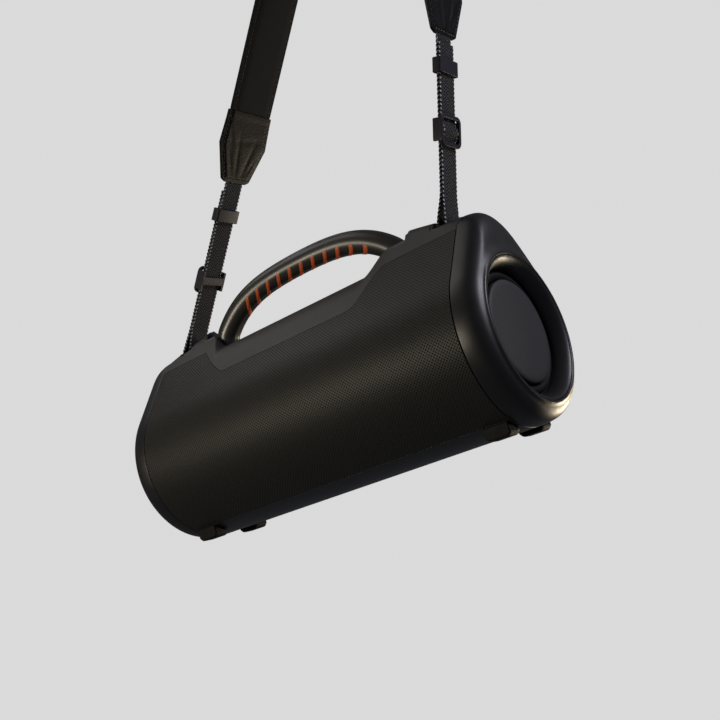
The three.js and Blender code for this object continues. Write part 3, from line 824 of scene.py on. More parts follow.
@shared
def pressed_paper_cone():
    # Pressed paper pulp: charcoal, fibrous, quite matte.
    material, tree, shader, base = finish("pressed_paper_pulp", "#232323", 0.85)
    grain(tree, shader, base, size=1.5, depth=0.15, mottle=0.3, spotted=2.5)
    return material


@shared
def solder_masked_board():
    # Glass-epoxy board under green solder mask, with paler copper tracks beneath it.
    material, tree, shader, base = finish("solder_masked_glass_epoxy", "#1c4a2c", 0.35)
    where = millimetre_coordinates(tree)
    tracks = node(tree, "ShaderNodeTexBrick", {
        "Vector": where, "Scale": 0.25, "Color1": scaled(base, 1.5), "Color2": base,
        "Mortar": scaled(base, 0.7), "Mortar Size": 0.08})
    tree.links.new(tracks.outputs["Color"], shader.inputs["Base Color"])
    return material


@shared
def shrink_wrapped_cells():
    # PVC shrink wrap over lithium cells: glossy blue film with shallow wrinkles.
    material, tree, shader, base = finish("pvc_shrink_wrap", "#22384f", 0.3)
    grain(tree, shader, base, size=6, depth=0.5, mottle=0.15, spotted=12)
    return material


@shared
def seamless_paper():
    # Matte seamless paper, evenly lit: mostly its own even brightness, faint fibre.
    material, tree, shader, _ = finish("seamless_paper", "#202020", 1.0)
    where = node(tree, "ShaderNodeTexCoord")
    fibre = node(tree, "ShaderNodeTexNoise", {"Vector": where.outputs["Object"], "Scale": 3})
    tone = (*bpy.context.scene.speaker_stage.backdrop, 1)
    mix = node(tree, "ShaderNodeMix", {
        "Factor": fibre.outputs["Fac"], "A": scaled(tone, 0.998), "B": scaled(tone, 1.002)},
        data_type="RGBA")
    tree.links.new(mix.outputs["Result"], shader.inputs["Emission Color"])
    shader.inputs["Emission Strength"].default_value = 1
    return material


# ---- operators --------------------------------------------------------------------------
AIM = (-7.6, 12.2, -439.3)     # what the camera looks at, in millimetres
FLOOR_REACH = 4.0              # metres from the middle of the floor to its wall
FLOOR_CURVE = 1.2              # radius of the curve between the two
WALL_TOP = 5.0
# name, azimuth, elevation, distance and size in metres, watts, colour
LIGHTS = (
    ("key", -84, 46, 0.95, 0.7, 1.7, "#fbf8f4"),
    ("low_band", -28, -3, 1.6, 0.35, 9, "#fff1d8"),
    ("cream_rim", 163, -11, 1.5, 0.4, 10, "#ffeccb"),
    ("cool_rim", 112, 46, 1.7, 0.6, 12, "#f3f2ff"),
)


def aimed(name, data, at, azimuth, elevation, distance, roll=0):
    """An object that looks at a point from a direction and a distance."""
    back = Vector((math.sin(azimuth) * math.cos(elevation),
                   -math.cos(azimuth) * math.cos(elevation), math.sin(elevation)))
    obj = bpy.data.objects.new(name, data)
    obj.location = at + back * distance
    look = (-back).to_track_quat("-Z", "Y").to_matrix().to_4x4()
    obj.rotation_euler = (look @ Matrix.Rotation(roll, 4, "Z")).to_euler()
    bpy.context.scene.collection.objects.link(obj)
    return obj


class SPEAKER_OT_stage(bpy.types.Operator):
    """Make the camera, the pale floor and backdrop, and the soft lights"""

    bl_idname = "speaker.stage"
    bl_label = "Stage"

    def execute(self, context):
        scene = bpy.context.scene
        settings = scene.speaker_stage
        data = bpy.data.cameras.new("camera")
        data.lens = settings.lens
        scene.camera = aimed("camera", data, Vector(AIM) * MM, settings.azimuth,
                             settings.elevation, settings.distance, settings.roll)
        backdrop(settings.floor)
        for name, azimuth, elevation, distance, size, watts, hex_colour in LIGHTS:
            data = bpy.data.lights.new(name, "AREA")
            data.shape = "DISK"
            data.size = size
            data.energy = watts
            data.color = linear(hex_colour)
            light = aimed(name, data, HOUSING.translation, math.radians(azimuth),
                          math.radians(elevation), distance)
            light.visible_camera = False
        world = bpy.data.worlds.new("soft_fill")
        world.use_nodes = True
        shade = world.node_tree.nodes["Background"]
        shade.inputs["Color"].default_value = (*linear("#c9ccd6"), 1)
        shade.inputs["Strength"].default_value = 0.13
        scene.world = world
        scene.view_settings.view_transform = "Standard"
        return {"FINISHED"}


def backdrop(floor):
    """A round floor that curves up into a wall on every side."""
    flat = FLOOR_REACH - FLOOR_CURVE
    profile = [(0.01, 0)] + [(r, 0) for r in spread(0.5, flat, 6)]
    profile += [(flat + FLOOR_CURVE * math.sin(a), FLOOR_CURVE * (1 - math.cos(a)))
                for a in spread(0, QUARTER, 16)[1:]]
    profile.append((FLOOR_REACH, WALL_TOP))
    points, faces = rings([[(r / MM * c, r / MM * s, (z - floor) / MM) for c, s in circle(96)]
                           for r, z in profile])
    obj = piece("backdrop", (points, faces[:-1]), seamless_paper(), None, "housing",
                matrix=Matrix.Scale(MM, 4), sharp=180)
    # It is only seen: the lights and the fill decide what falls on the loudspeaker.
    obj.visible_diffuse = False
    obj.visible_glossy = False
    obj.visible_shadow = False


class SPEAKER_OT_grilles(bpy.types.Operator):
    """Make the perforated front and rear grilles"""

    bl_idname = "speaker.grilles"
    bl_label = "Grilles"

    def execute(self, context):
        h = in_mm("speaker_housing")
        xs = skin_stations()
        counts = (20, 10, 36)

        def knots(x, section):
            return (section.base_edge() - h.gap, section.at_height(PORT_LOW),
                    section.at_height(PORT_HIGH), grille_top(x, section) + h.gap)

        def opening(i, j):
            inside = -PORT_HALF <= xs[i] and xs[i + 1] <= PORT_HALF
            return inside and counts[0] <= j < counts[0] + counts[1]

        for side, name, skip in ((-1, "front", None), (1, "rear", opening)):
            form, lay = panel(xs, knots, counts, h.grille_skin, side, skip)
            obj = piece(f"grille_{name}", form, powder_coated_perforated_steel(), "housing",
                        "grille", f"{name}_grille", lay=lay)
            bevel(obj, 0.4, 2)
        return {"FINISHED"}


class SPEAKER_OT_top_cover(bpy.types.Operator):
    """Make the top cover with its openings for the handle, the straps and the controls"""

    bl_idname = "speaker.top_cover"
    bl_label = "Top cover"

    def execute(self, context):
        h = in_mm("speaker_housing")

        def knots(x, section):
            reach = grille_top(x, section)
            return -reach, reach

        form, _ = panel(skin_stations(), knots, (56,), h.skin)
        cover = piece("top_shell", form, soft_touch_cover_painted_light(), "housing", "cover", "top_cover")
        # name, centre x, length along x, width, corner radius, low
        openings = [("controls", 0, 112.6, 26.6, 3, 60)]
        for side in (-1, 1):
            openings += [("socket", side * 115, 32.6, 32.6, 1, 80),
                         ("slot", side * h.bar_out + SLOT_LEAN, 25.6, 35.6, 1, 90)]
        carve(cover, [cutter(f"cut_{name}_{x:.0f}", [(x + u, v) for u, v in
                                                     rounded_rectangle(along, across, radius)],
                             low, 160) for name, x, along, across, radius, low in openings])
        return {"FINISHED"}


class SPEAKER_OT_base_panel(bpy.types.Operator):
    """Make the plain panel under the drum"""

    bl_idname = "speaker.base_panel"
    bl_label = "Base panel"

    def execute(self, context):
        h = in_mm("speaker_housing")
        edge = h.seam - h.gap
        form, _ = panel(spread(-edge, edge, 60), lambda x, section: (
            section.base_edge(), 2 * section.half - section.base_edge()), (36,), h.skin)
        bevel(piece("base_shell", form, spark_eroded_abs(), "housing", "housing", "base_panel"),
              0.4, 2)
        return {"FINISHED"}


BUTTONS = ("power", "pairing", "volume_down", "play", "volume_up")
BUTTON_PITCH = 21
BUTTON_RADIUS = 7
BUTTON_DROP = 0.25             # the raised symbols end level with the saddle


class SPEAKER_OT_controls(bpy.types.Operator):
    """Make the control strip and its five rubber buttons with raised symbols"""

    bl_idname = "speaker.controls"
    bl_label = "Controls"

    def execute(self, context):
        h = in_mm("speaker_housing")
        form, _ = panel(spread(-56, 56, 60), lambda x, section: (-13, 13), (20,), h.skin)
        plate = piece("control_plate", form, spark_eroded_abs(), "housing", "housing",
                      "control_strip")
        round_48 = circle(48)
        reach = BUTTON_RADIUS + h.gap
        places = [(name, (i - 2) * BUTTON_PITCH) for i, name in enumerate(BUTTONS)]
        carve(plate, [cutter(f"hole_{name}", [(x + reach * c, reach * s) for c, s in round_48],
                             80, 110) for name, x in places])
        top, edge = h.saddle - BUTTON_DROP, BUTTON_RADIUS
        profile = [(edge, h.saddle - 4.2), (edge, top - 1), (edge - 0.3, top - 0.6),
                   (edge - 1, top - 0.3), (edge - 3, top - 0.1), (1, top)]
        for name, x in places:
            cap = [rings([[(x + r * c, r * s, z) for c, s in round_48] for r, z in profile])]
            cap += [prism([(x + u, v) for u, v in loop], top - 0.3, top + 0.25)
                    for loop in symbol(name)]
            piece(f"button_cap_{name}", joined(cap), moulded_rubber(), f"button_{name}",
                  "rubber", f"button_{name}", sharp=40)
        return {"FINISHED"}


def symbol(name):
    """Loops of a button's generic symbol, in millimetres about its middle."""
    def bar(width, height, x=0, y=0):
        return [(x + u, y + v) for u, v in rounded_rectangle(width, height, 0.25, 2)]

    if name == "play":
        return [[(-1.8, -2.2), (2.4, 0), (-1.8, 2.2)]]
    if name == "volume_down":
        return [bar(5, 0.9)]
    if name == "volume_up":
        return [bar(5, 0.9), bar(0.9, 2, 0, 1.5), bar(0.9, 2, 0, -1.5)]
    if name == "power":
        turns = spread(math.radians(125), math.radians(125 + 290), 24)
        arc = [(r * math.cos(a), r * math.sin(a))
               for r, order in ((2.7, turns), (1.9, turns[::-1])) for a in order]
        return [arc, bar(0.8, 2.6, 0, 2.2)]
    return [bar(0.9, 2.2, -2), bar(0.9, 4.2), bar(0.9, 2.2, 2)]


# (x, radius, height of the top) round the section of an end cap
END_CAP = (
    (187, 79.6, 109.6), (187.5, 80, 110), (190, 80, 109.9), (194, 79.9, 109.4),
    (198, 79.5, 108.5), (201.5, 78.8, 107), (204.5, 77.6, 104.4), (207.2, 75.4, 100.4),
    (209.2, 73, 95), (210.3, 71, 87), (210.8, 69.4, 79), (211.6, 68.2, 73),
    (212.7, 67.3, 68.6), (213, 66.4, 66.6), (212.9, 65.5, 65.5), (212.4, 64.65, 64.65),
    (212, 64.6, 64.6), (205, 64.6, 64.6), (196.5, 64.6, 64.6), (196.5, 67.2, 67.2),
    (205, 67.4, 67.4), (203.5, 73, 96), (199.5, 76.2, 103), (187, 76.8, 106),
)
# (radius, x) round the sections of the pieces inside it
HORN = ((64.3, 197), (64.3, 212), (64.25, 212.35), (63.2, 212.1), (61.5, 210.9),
        (59.2, 208), (57.2, 204.6), (56.1, 201.6), (55.6, 199), (55.6, 197))
SURROUND = ((54.9, 193.5), (54.9, 196.4), (53.9, 198.2), (52.5, 199.2), (51, 199.6),
            (49.5, 199.2), (48.1, 198.2), (46.6, 196.5), (46.6, 194.5), (48.6, 196.2),
            (51, 197.2), (53, 196), (53.4, 193.5))
DISC = ((0.6, 202.1), (20, 202.4), (40, 202.5), (43.6, 202.45), (45, 202), (45.8, 201.2),
        (46, 200), (46, 197.3), (45.2, 196.5), (30, 196.5), (0.6, 196.5))


class SPEAKER_OT_end_caps(bpy.types.Operator):
    """Make the two moulded end caps"""

    bl_idname = "speaker.end_caps"
    bl_label = "End caps"

    def execute(self, context):
        subdivide(both_ends("end_shell", loft(END_CAP, 120), spark_eroded_abs(), "housing",
                            "end_cap"))
        return {"FINISHED"}


class SPEAKER_OT_radiators(bpy.types.Operator):
    """Make the horn rings, the rubber surrounds and the weighted discs at both ends"""

    bl_idname = "speaker.radiators"
    bl_label = "Passive radiators"

    def execute(self, context):
        subdivide(both_ends("horn", turned(HORN, 120), spark_eroded_abs(), "housing",
                            "horn_ring"))
        subdivide(both_ends("surround_roll", turned(SURROUND), moulded_rubber(), "rubber",
                            "radiator_surround"))
        # A disc is a solid of revolution with a small flat in the middle of each face.
        disc = rings([[(x, r * c, r * s) for c, s in circle(96)] for r, x in DISC])
        for obj in both_ends("weighted_disc", disc, coated_disc(), "disc", "radiator_disc",
                             "radiator_{}"):
            bevel(obj, 0.3, 2, 50)
        return {"FINISHED"}


RIB_SLANT = 10.4               # along the grip, from the underside to either side of it
RIB_REACH = math.radians(86)   # how far round the grip a rib goes to either side


def arch(x):
    """Height of the grip's centre line."""
    part = x / 90.9
    return in_mm("speaker_handle").top - 7.27 * part ** 2 - 10.27 * part ** 4


def grip_at(x):
    """The grip's centre line and the normal that points down from it, at x."""
    slope = arch(x + 0.5) - arch(x - 0.5)
    return Vector((x, 0, arch(x))), Vector((slope, 0, -1)).normalized()


def grip_route(s):
    """Points and downward normals along the grip, from the left socket to the right."""
    right = []
    start, down = grip_at(s.arch_end)
    leave = Vector((-down.z, 0, down.x)) * 17
    stop, arrive = Vector((115.5, 0, 92)), Vector((1.5, 0, -22))
    for t in spread(0, 1, 12)[1:]:
        p = ((2 * t ** 3 - 3 * t ** 2 + 1) * start + (t ** 3 - 2 * t ** 2 + t) * leave
             + (3 * t ** 2 - 2 * t ** 3) * stop + (t ** 3 - t ** 2) * arrive)
        run = ((6 * t ** 2 - 6 * t) * start + (3 * t ** 2 - 4 * t + 1) * leave
               + (6 * t - 6 * t ** 2) * stop + (3 * t ** 2 - 2 * t) * arrive).normalized()
        right.append((p, Vector((run.z, 0, -run.x))))
    left = [tuple(Vector((-v.x, 0, v.z)) for v in pair) for pair in reversed(right)]
    return left + [grip_at(x) for x in spread(-s.arch_end, s.arch_end, 90)] + right


def grip_point(x, radius, a):
    """The point at x, at a radius from the centre line and an angle from underneath."""
    at = x
    for _ in range(6):
        _, n = grip_at(at)
        at = x - n.x * radius * math.cos(a)
    p, n = grip_at(at)
    return p + n * radius * math.cos(a) + Vector((0, radius * math.sin(a), 0))


class SPEAKER_OT_handle(bpy.types.Operator):
    """Make the carry grip and the ribs in its underside"""

    bl_idname = "speaker.handle"
    bl_label = "Handle"

    def execute(self, context):
        s = in_mm("speaker_handle")
        open_angle = math.acos(s.flat / s.radius)
        section = [(s.radius * math.sin(a), s.radius * math.cos(a))
                   for a in spread(open_angle, 2 * math.pi - open_angle, 48)]
        section += [(s.radius * math.sin(-open_angle) * (1 - i / 4), s.flat)
                    for i in range(1, 8)]
        piece("grip", rings([[p + n * deep + Vector((0, wide, 0)) for wide, deep in section]
                             for p, n in grip_route(s)]),
              satin_tpu_grip(), "housing", "grip", "handle_grip", sharp=50)
        ribs = [rib((k - (s.ribs - 1) / 2) * s.pitch, s.rib / 2, s.radius)
                for k in range(s.ribs)]
        piece("grip_ribs", joined(ribs), silicone_ribs(), "housing", "ribs",
              "handle_rib_insert", sharp=60)
        return {"FINISHED"}


def rib(middle_x, half, radius):
    """A slanted slice bent round the underside, a little proud of the grip."""
    loops = []
    for turn in spread(-1, 1, 24):
        a = RIB_REACH * turn
        low = radius - 2.5
        proud = radius - 0.5 + 0.7 * (1 - smooth(0.8, 1, abs(turn)))
        side = ((half, low), (half, proud - 0.9), (half - 0.4, proud - 0.25),
                (half - 1.1, proud))
        section = [(-along, r) for along, r in side] + list(side[::-1])
        loops.append([grip_point(middle_x + along - RIB_SLANT * math.sin(a), r, a)
                      for along, r in section])
    return rings(loops)


FOOT_X = (160, 184)            # along the drum
FOOT_Y = (21, 38)              # out from the middle plane
FOOT_BOTTOM = -83
FOOT_CHAMFER = 3


class SPEAKER_OT_feet(bpy.types.Operator):
    """Make the four rubber feet"""

    bl_idname = "speaker.feet"
    bl_label = "Feet"

    def execute(self, context):
        h = in_mm("speaker_housing")
        near, far = FOOT_X
        for end, sx in (("left", -1), ("right", 1)):
            for face, sy in (("front", -1), ("rear", 1)):
                loops = []
                for i, y in enumerate(spread(*FOOT_Y, 10)):
                    top = -math.sqrt((h.drum + h.gap) ** 2 - y ** 2)
                    low = FOOT_BOTTOM + 0.6 * (2 * i / 10 - 1) ** 6
                    loop = [(near, top), (near, low + FOOT_CHAMFER), (near + FOOT_CHAMFER, low),
                            (far - FOOT_CHAMFER, low), (far, low + FOOT_CHAMFER), (far, top)]
                    loops.append([(sx * x, sy * y, z) for x, z in loop])
                name = f"foot_{face}_{end}"
                bevel(piece(f"rubber_{name}", rings(loops), moulded_rubber(), "housing",
                            "rubber", name), 1.0, 3, 30)
        return {"FINISHED"}


FLAP_HALF, FLAP_LOW, FLAP_HIGH = 43.7, -35.7, -4.3
FLAP_CORNER = 7
FLAP_THICK = 2


class SPEAKER_OT_port_cover(bpy.types.Operator):
    """Make the rubber flap over the charging port"""

    bl_idname = "speaker.port_cover"
    bl_label = "Port cover"

    def execute(self, context):
        outer, inner = [], []
        for x in spread(-FLAP_HALF, FLAP_HALF, 60):
            # The ends are rounded by pulling the rows in near the corners.
            corner = max(0, abs(x) - (FLAP_HALF - FLAP_CORNER))
            pull = FLAP_CORNER - math.sqrt(FLAP_CORNER ** 2 - corner ** 2)
            section = body_section(x)
            rows = spread(section.at_height(FLAP_HIGH - pull),
                          section.at_height(FLAP_LOW + pull), 24)
            sunk = [0.5 - 0.5 * smooth(0, 0.12, i / 24) * smooth(0, 0.12, 1 - i / 24)
                    for i in range(25)]
            outer.append([(x, *section.point(s, depth)) for s, depth in zip(rows, sunk)])
            inner.append([(x, *section.point(s, FLAP_THICK)) for s in rows])
        bevel(piece("port_flap", shell(outer, inner), moulded_rubber(), "port_cover", "rubber",
                    "port_cover"), 0.4, 2)
        return {"FINISHED"}


# ---- the strap --------------------------------------------------------------------------
WRAP_TOP = 34                  # above this the two strands of a leg lie straight
RIDE = 2.9                     # how far the tail rises over the slider's bar
RIDE_REACH = 9.5


class Leg:
    """One leg of the strap: its own axes are x across, y outward and z up from the bar."""

    def __init__(self, end):
        s = in_mm("speaker_strap")
        self.end_name = end
        side = -1 if end == "left" else 1
        bar = middle(f"strap_bar_{end}") / MM
        self.bar = Vector((bar.x, bar.z))
        self.arc_at = Vector((0, s.thick / 2 - s.arc))
        away = self.bar - self.arc_at
        self.turn = math.atan2(away.y, away.x) + side * math.acos(s.arc / away.length)
        meets = self.arc_at + Vector((math.cos(self.turn), math.sin(self.turn))) * s.arc
        self.along = (meets - self.bar).normalized()
        self.length = (meets - self.bar).length
        across = Vector((0, -side, 0))
        outward = Vector((side * self.along.y, 0, -side * self.along.x))
        up = Vector((self.along.x, 0, self.along.y))
        turn = Matrix((across, outward, up)).transposed().to_4x4()
        self.matrix = (Matrix.Translation(Vector((self.bar.x, 0, self.bar.y)) * MM)
                       @ turn @ Matrix.Scale(MM, 4))
        self.slider, self.keeper, self.tail, self.end = (
            getattr(s, f"{end}_{part}") for part in ("slider", "keeper", "tail", "end"))
        self.wrap = s.bar + 0.5 + s.web_thick / 2
        self.tail_out = s.tail_out

    def main(self, t):
        """How far outward the main strand lies at t up the leg."""
        return -self.wrap * (1 - smooth(2, WRAP_TOP, t))

    def back(self, t):
        """How far outward the returning strand lies; it rides up over the slider's bar."""
        level = self.tail_out + (self.wrap - self.tail_out) * (1 - smooth(2, WRAP_TOP, t))
        off = min(1, abs(t - self.slider) / RIDE_REACH)
        return level + RIDE * (0.5 + 0.5 * math.cos(math.pi * off))

    def webbing(self, step):
        """Centre line (outward, up) of the whole strip, from the end piece to the tail."""
        down = int((self.end + 6 - 2) / step)
        up = int((self.tail - 2) / step)
        line = [(self.main(t), t) for t in spread(self.end + 6, 2, down)]
        line += [(self.wrap * math.cos(a), self.wrap * math.sin(a))
                 for a in spread(math.pi, 2 * math.pi, 16)[1:-1]]
        return line + [(self.back(t), t) for t in spread(2, self.tail, up)]


def along_line(line):
    """Each point of a 2-D line with its sideways normal and its distance from the start."""
    line = [Vector(p) for p in line]
    made, run = [], 0
    for i, p in enumerate(line):
        direction = (line[min(len(line) - 1, i + 1)] - line[max(0, i - 1)]).normalized()
        if i:
            run += (p - line[i - 1]).length
        made.append((p, Vector((-direction.y, direction.x)), run))
    return made


WEB_STEP = 0.7
WEB_COLUMNS = 14
EDGE_WAVE = 3.8                # one turn of the edge thread along the webbing


class SPEAKER_OT_webbing(bpy.types.Operator):
    """Make the webbing of each leg as one strip, round its bar and back through the slider"""

    bl_idname = "speaker.webbing"
    bl_label = "Webbing"

    def execute(self, context):
        s = in_mm("speaker_strap")
        for end in ENDS:
            leg = Leg(end)
            stations = along_line(leg.webbing(WEB_STEP))
            loops, lay = [], []
            for p, normal, run in stations:
                edge = s.web / 2 + 0.4 * math.sin(2 * math.pi * run / EDGE_WAVE) - 0.2
                loop = []
                for side in (1, -1):
                    for x in spread(-side * edge, side * edge, WEB_COLUMNS):
                        # The edge is a little thicker, then rounds off.
                        u = abs(x) / edge
                        thick = s.web_thick / 2 * (1 - 0.12 * smooth(0.3, 0.7, u)
                                                   + 0.12 * smooth(0.7, 0.88, u)
                                                   - 0.75 * smooth(0.93, 1.0, u))
                        q = p + normal * side * thick
                        loop.append((x, q.x, q.y))
                        lay.append((x, run))
                loops.append(loop)
            strip = piece(f"strap_webbing_{end}", rings(loops), woven_polyester(), None,
                          "webbing", matrix=leg.matrix, lay=lay, sharp=70)
            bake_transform(strip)
            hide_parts(f"webbing_{end}", f"webbing_tail_{end}", f"webbing_loop_{end}")
        return {"FINISHED"}


def hoop(outer, inner, low, high, place):
    """A closed frame between two loops with as many points each."""
    return rings([[place(*a, low), place(*a, high), place(*b, high), place(*b, low)]
                  for a, b in zip(outer, inner)], closed=True)


class SPEAKER_OT_buckles(bpy.types.Operator):
    """Make the sliders and the keepers on both legs"""

    bl_idname = "speaker.buckles"
    bl_label = "Sliders and keepers"

    def execute(self, context):
        for end in ENDS:
            leg = Leg(end)

            # The slider is a rounded frame with cheeks that go down past the main strand. One
            # bar carries the tail, and a wider one crosses the inside of the main strand.
            def flat(u, v, w):
                return u, w, v + leg.slider

            parts = [hoop(rounded_rectangle(33, 28, 6), rounded_rectangle(26, 21, 2.6), 3.3, 6.0,
                          flat)]
            parts += [prism([(side * 14.8 + u, v) for u, v in rounded_rectangle(3.2, 20, 1.2)],
                            -3.4, 4.4, flat) for side in (-1, 1)]
            parts += [prism(rounded_rectangle(*size), -15.6, 15.6,
                            lambda u, v, w: (w, out + u, v + leg.slider))
                      for size, out in (((2.1, 3.2, 0.9), 2.3), ((2, 9, 0.8), -2.4))]
            # The keeper is a flat loop round both strands.
            loop = hoop(rounded_rectangle(31, 9, 2.2), rounded_rectangle(26.4, 4.7, 0.8),
                        -6.5, 6.5, lambda u, v, w: (u, v + leg.tail_out / 2, w + leg.keeper))
            for name, form, body in (("slider", joined(parts), "strap"),
                                     ("keeper", loop, f"keeper_{end}")):
                bevel(piece(f"strap_{name}_{end}", form, moulded_acetal(), body, "buckle",
                            f"{name}_{end}", matrix=leg.matrix, sharp=40), 0.5)
        return {"FINISHED"}


THREAD = 0.45                  # radius of the sewing thread
STITCH_PITCH = 4.2
STITCH_SHARE = 0.72            # how much of the pitch the thread lies above


def stitches(name, routes, place):
    """A row of stitches along each route of (point, normal) pairs, as short domed bars."""
    bars = []
    for route in routes:
        marks = [0]
        for (a, _), (b, _) in zip(route, route[1:]):
            marks.append(marks[-1] + (b - a).length)
        total = int(marks[-1] / STITCH_PITCH)
        for k in range(total):
            pair = []
            for share in (0, STITCH_SHARE):
                at = marks[-1] * (k + share) / total
                i = min(max(i for i, m in enumerate(marks) if m <= at), len(route) - 2)
                f = (at - marks[i]) / (marks[i + 1] - marks[i])
                pair.append((route[i][0].lerp(route[i + 1][0], f), route[i][1]))
            (a, normal), (b, _) = pair
            side = (b - a).normalized().cross(normal).normalized()
            bars.append(rings([
                [a.lerp(b, f) + (side * c + normal * s) * THREAD * swell
                 for c, s in circle(6)]
                for f, swell in ((0, 0.3), (0.15, 0.85), (0.5, 1), (0.85, 0.85), (1, 0.3))]))
    piece(name, joined(bars), bonded_thread(), "strap", "leatherette", matrix=place, sharp=80)


# Half widths of an end piece (up, across): a short shoulder, a flare, then a slight waist.
OUTLINE = ((0, 14), (3, 20), (38, 33), (70, 30.5))
# Creases (across and up at the foot, across and up at the head, depth, width).
CREASES = ((-4, 4, -15, 44, 0.8, 2.4), (3, 3, 9, 50, 0.9, 2.2), (8, 6, 24, 42, 0.8, 2.6),
           (-9, 8, -27, 36, 0.5, 2.0), (-24, 46, 20, 40, 0.35, 3.0),
           (14, 30, 27, 60, 0.6, 2.2))
SEAM_IN = 3.5                  # from the rim to the groove of the seam


def half_width(t):
    for (t0, w0), (t1, w1) in zip(OUTLINE, OUTLINE[1:]):
        if t <= t1:
            return w0 + (w1 - w0) * (t - t0) / (t1 - t0)
    return OUTLINE[-1][1]


def crease(x, t):
    depth = 0
    for x0, t0, x1, t1, deep, wide in CREASES:
        foot, run = Vector((x0, t0)), Vector((x1 - x0, t1 - t0))
        f = min(1, max(0, ((Vector((x, t)) - foot) @ run) / run.length_squared))
        away = (Vector((x, t)) - foot - run * f).length
        depth += deep * math.exp(-(away / wide) ** 2) * math.sin(math.pi * (0.1 + 0.8 * f))
    return depth


class SPEAKER_OT_strap_ends(bpy.types.Operator):
    """Make the stitched leatherette ends between the pad and the webbing"""

    bl_idname = "speaker.strap_ends"
    bl_label = "Strap ends"

    def execute(self, context):
        s = in_mm("speaker_strap")
        for end in ENDS:
            leg = Leg(end)
            grids = {1: [], -1: []}
            for t in spread(0.3, s.end + 1, 70):
                half = half_width(t) - 0.2
                for side, grid in grids.items():
                    row = []
                    for x in spread(-half, half, 36):
                        rim = min(half - abs(x), t)
                        crown = 0.5 + 0.5 * smooth(0, 7, rim) + 0.1 * smooth(8, 1, s.end - t)
                        level = s.thick / 2 * crown
                        level -= 0.55 * math.exp(-((rim - SEAM_IN) / 0.9) ** 2)
                        fold = crease(x, t) if side > 0 else 0.6 * crease(-x, t)
                        level -= fold * smooth(3, 9, rim)
                        row.append((x, side * level, t + leg.end))
                    grid.append(row)
            obj = piece(f"leather_end_{end}", shell(grids[1], grids[-1]), pressed_leatherette(),
                        "strap", "leatherette", f"strap_end_{end}", matrix=leg.matrix, sharp=60)
            bevel(obj, 0.5, 3, 50)
            seam(leg, s)
        return {"FINISHED"}


def seam(leg, s):
    """Stitches round the border on both faces, and two rows across the webbing."""
    routes = []
    for side in (1, -1):
        normal = Vector((0, side, 0))
        level = side * (s.thick / 2 * 0.74 - 0.35)
        border = [(-1, t) for t in spread(66, 4, 30)] + [(1, t) for t in spread(4, 66, 30)]
        routes.append([(Vector((edge * (half_width(t) - 3.7), level, t + leg.end)), normal)
                       for edge, t in border])
        for t in (66, 62):
            reach = half_width(t) - 4
            routes.append([(Vector((x, level + side * 0.45, t + leg.end)), normal)
                           for x in spread(-reach, reach, 8)])
    stitches(f"seam_{leg.end_name}", routes, leg.matrix)


TUCK = 5                       # the pad goes this far into its leatherette ends


def pad_line(s):
    """Centre line (x, z) of the pad in the frame, in millimetres."""
    left, right = Leg("left"), Leg("right")
    start = left.bar + left.along * (left.end + s.end - TUCK)
    stop = right.turn - (2 * math.pi if right.turn > left.turn else 0)
    line = [start.lerp(left.bar + left.along * left.length, i / 60) for i in range(60)]
    line += [left.arc_at + Vector((math.cos(a), math.sin(a))) * s.arc
             for a in spread(left.turn, stop, 130)]
    return line + [right.bar + right.along * (right.length - down)
                   for down in spread(0, TUCK, 4)[1:]]


class SPEAKER_OT_shoulder_pad(bpy.types.Operator):
    """Make the foam pad that goes over its support, with bound and stitched edges"""

    bl_idname = "speaker.shoulder_pad"
    bl_label = "Shoulder pad"

    def execute(self, context):
        s = in_mm("speaker_strap")
        stations = along_line(pad_line(s))
        total = stations[-1][2]
        half = s.pad / 2 - 0.2
        loops, lay = [], []
        for p, normal, run in stations:
            # The pad thins where it goes into the ends.
            swell = 0.3 + 0.7 * smooth(TUCK, TUCK + 3, min(run, total - run))
            loop = []
            for side in (1, -1):
                for x in spread(-side * half, side * half, 30):
                    # Bound edge, a stitched channel 4 mm in, then the crowned foam.
                    rim = half - abs(x)
                    thick = s.thick / 2 * (0.45 + 0.22 * smooth(0, 1.5, rim)
                                           + 0.33 * smooth(4.5, 11, rim))
                    thick -= 0.5 * math.exp(-((rim - 4) / 0.8) ** 2)
                    q = p + normal * side * thick * swell
                    loop.append((q.x, -x, q.y))
                    lay.append((x, run))
            loops.append(loop)
        frame_mm = Matrix.Scale(MM, 4)
        pad = piece("pad_cover", rings(loops), knitted_pad_cover(), "strap", "pad",
                    "shoulder_pad", matrix=frame_mm, lay=lay, sharp=60)
        routes = []
        for side in (1, -1):
            for x in (-half + 4, half - 4):
                route = []
                for p, normal, run in stations:
                    if 2 < run < total - 2:
                        n = normal * side
                        q = p + n * (s.thick / 2 * 0.67 - 0.3)
                        route.append((Vector((q.x, -x, q.y)), Vector((n.x, 0, n.y))))
                routes.append(route)
        stitches("pad_seams", routes, frame_mm)
        return {"FINISHED"}


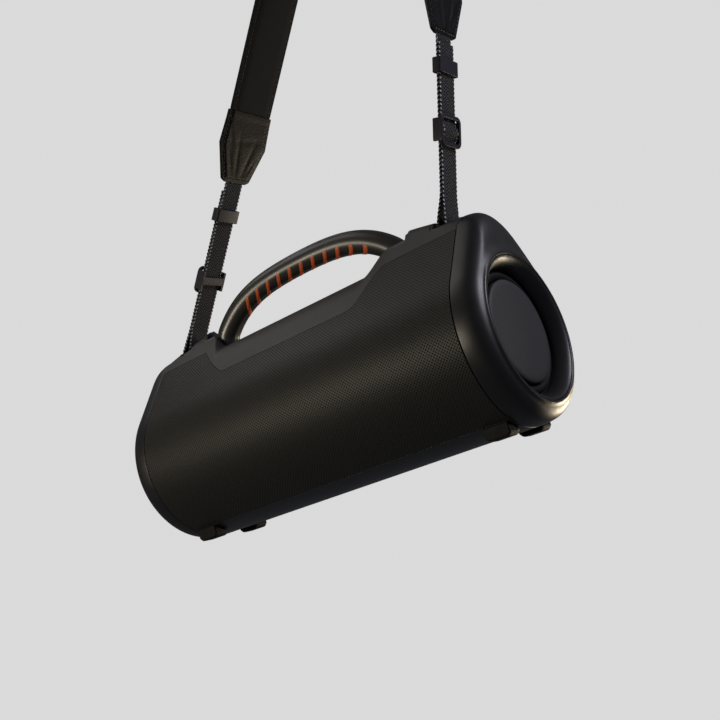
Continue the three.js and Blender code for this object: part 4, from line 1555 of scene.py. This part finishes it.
class SPEAKER_OT_kept_parts(bpy.types.Operator):
    """Give the inner and small parts that keep their frame shape their own finishes"""

    bl_idname = "speaker.kept_parts"
    bl_label = "Inner and small parts"

    def execute(self, context):
        pairs = {
            spark_eroded_abs: ("handle_socket", "strap_slot", "radiator_frame"),
            blackened_steel: ("strap_bar",),
            brushed_steel: ("handle_anchor", "woofer_basket", "woofer_magnet"),
            pressed_paper_cone: ("woofer_cone",),
        }
        single = {
            spark_eroded_abs: ("cabinet", "port_panel"),
            brushed_steel: ("usb_socket",),
            solder_masked_board: ("main_board", "button_board"),
            shrink_wrapped_cells: ("battery_pack",),
        }
        kept = [(make, f"{name}_{end}") for make, names in pairs.items() for name in names
                for end in ENDS]
        kept += [(make, name) for make, names in single.items() for name in names]
        for make, name in kept:
            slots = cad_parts[name].material_slots
            if not slots:
                raise RuntimeError(f"{name} has no material slot")
            for slot in slots:
                slot.material = make()
        return {"FINISHED"}


# ---- add-on -----------------------------------------------------------------------------
OPERATORS = (
    SPEAKER_OT_stage, SPEAKER_OT_grilles, SPEAKER_OT_top_cover, SPEAKER_OT_base_panel,
    SPEAKER_OT_controls, SPEAKER_OT_end_caps, SPEAKER_OT_radiators, SPEAKER_OT_handle,
    SPEAKER_OT_feet, SPEAKER_OT_port_cover, SPEAKER_OT_webbing, SPEAKER_OT_buckles,
    SPEAKER_OT_strap_ends, SPEAKER_OT_shoulder_pad, SPEAKER_OT_kept_parts,
)


class SPEAKER_PT_panel(bpy.types.Panel):
    """Lists the sizes, the colours and the pieces"""

    bl_idname = "SPEAKER_PT_panel"
    bl_label = "Loudspeaker"
    bl_space_type = "VIEW_3D"
    bl_region_type = "UI"
    bl_category = "Loudspeaker"

    def draw(self, context):
        for name, group in GROUPS.items():
            box = self.layout.box()
            box.label(text=group.__doc__)
            for prop in group.__annotations__:
                box.prop(getattr(context.scene, name), prop)
        for operator in OPERATORS:
            self.layout.operator(operator.bl_idname)


def register():
    for cls in (*GROUPS.values(), *OPERATORS, SPEAKER_PT_panel):
        bpy.utils.register_class(cls)
    for name, group in GROUPS.items():
        setattr(bpy.types.Scene, name, PointerProperty(type=group))


def unregister():
    for name in GROUPS:
        delattr(bpy.types.Scene, name)
    for cls in (SPEAKER_PT_panel, *reversed(OPERATORS), *GROUPS.values()):
        bpy.utils.unregister_class(cls)


def main():
    register()
    for operator in OPERATORS:
        getattr(bpy.ops.speaker, operator.bl_idname.split(".")[1])()


if __name__ == "__main__":
    main()
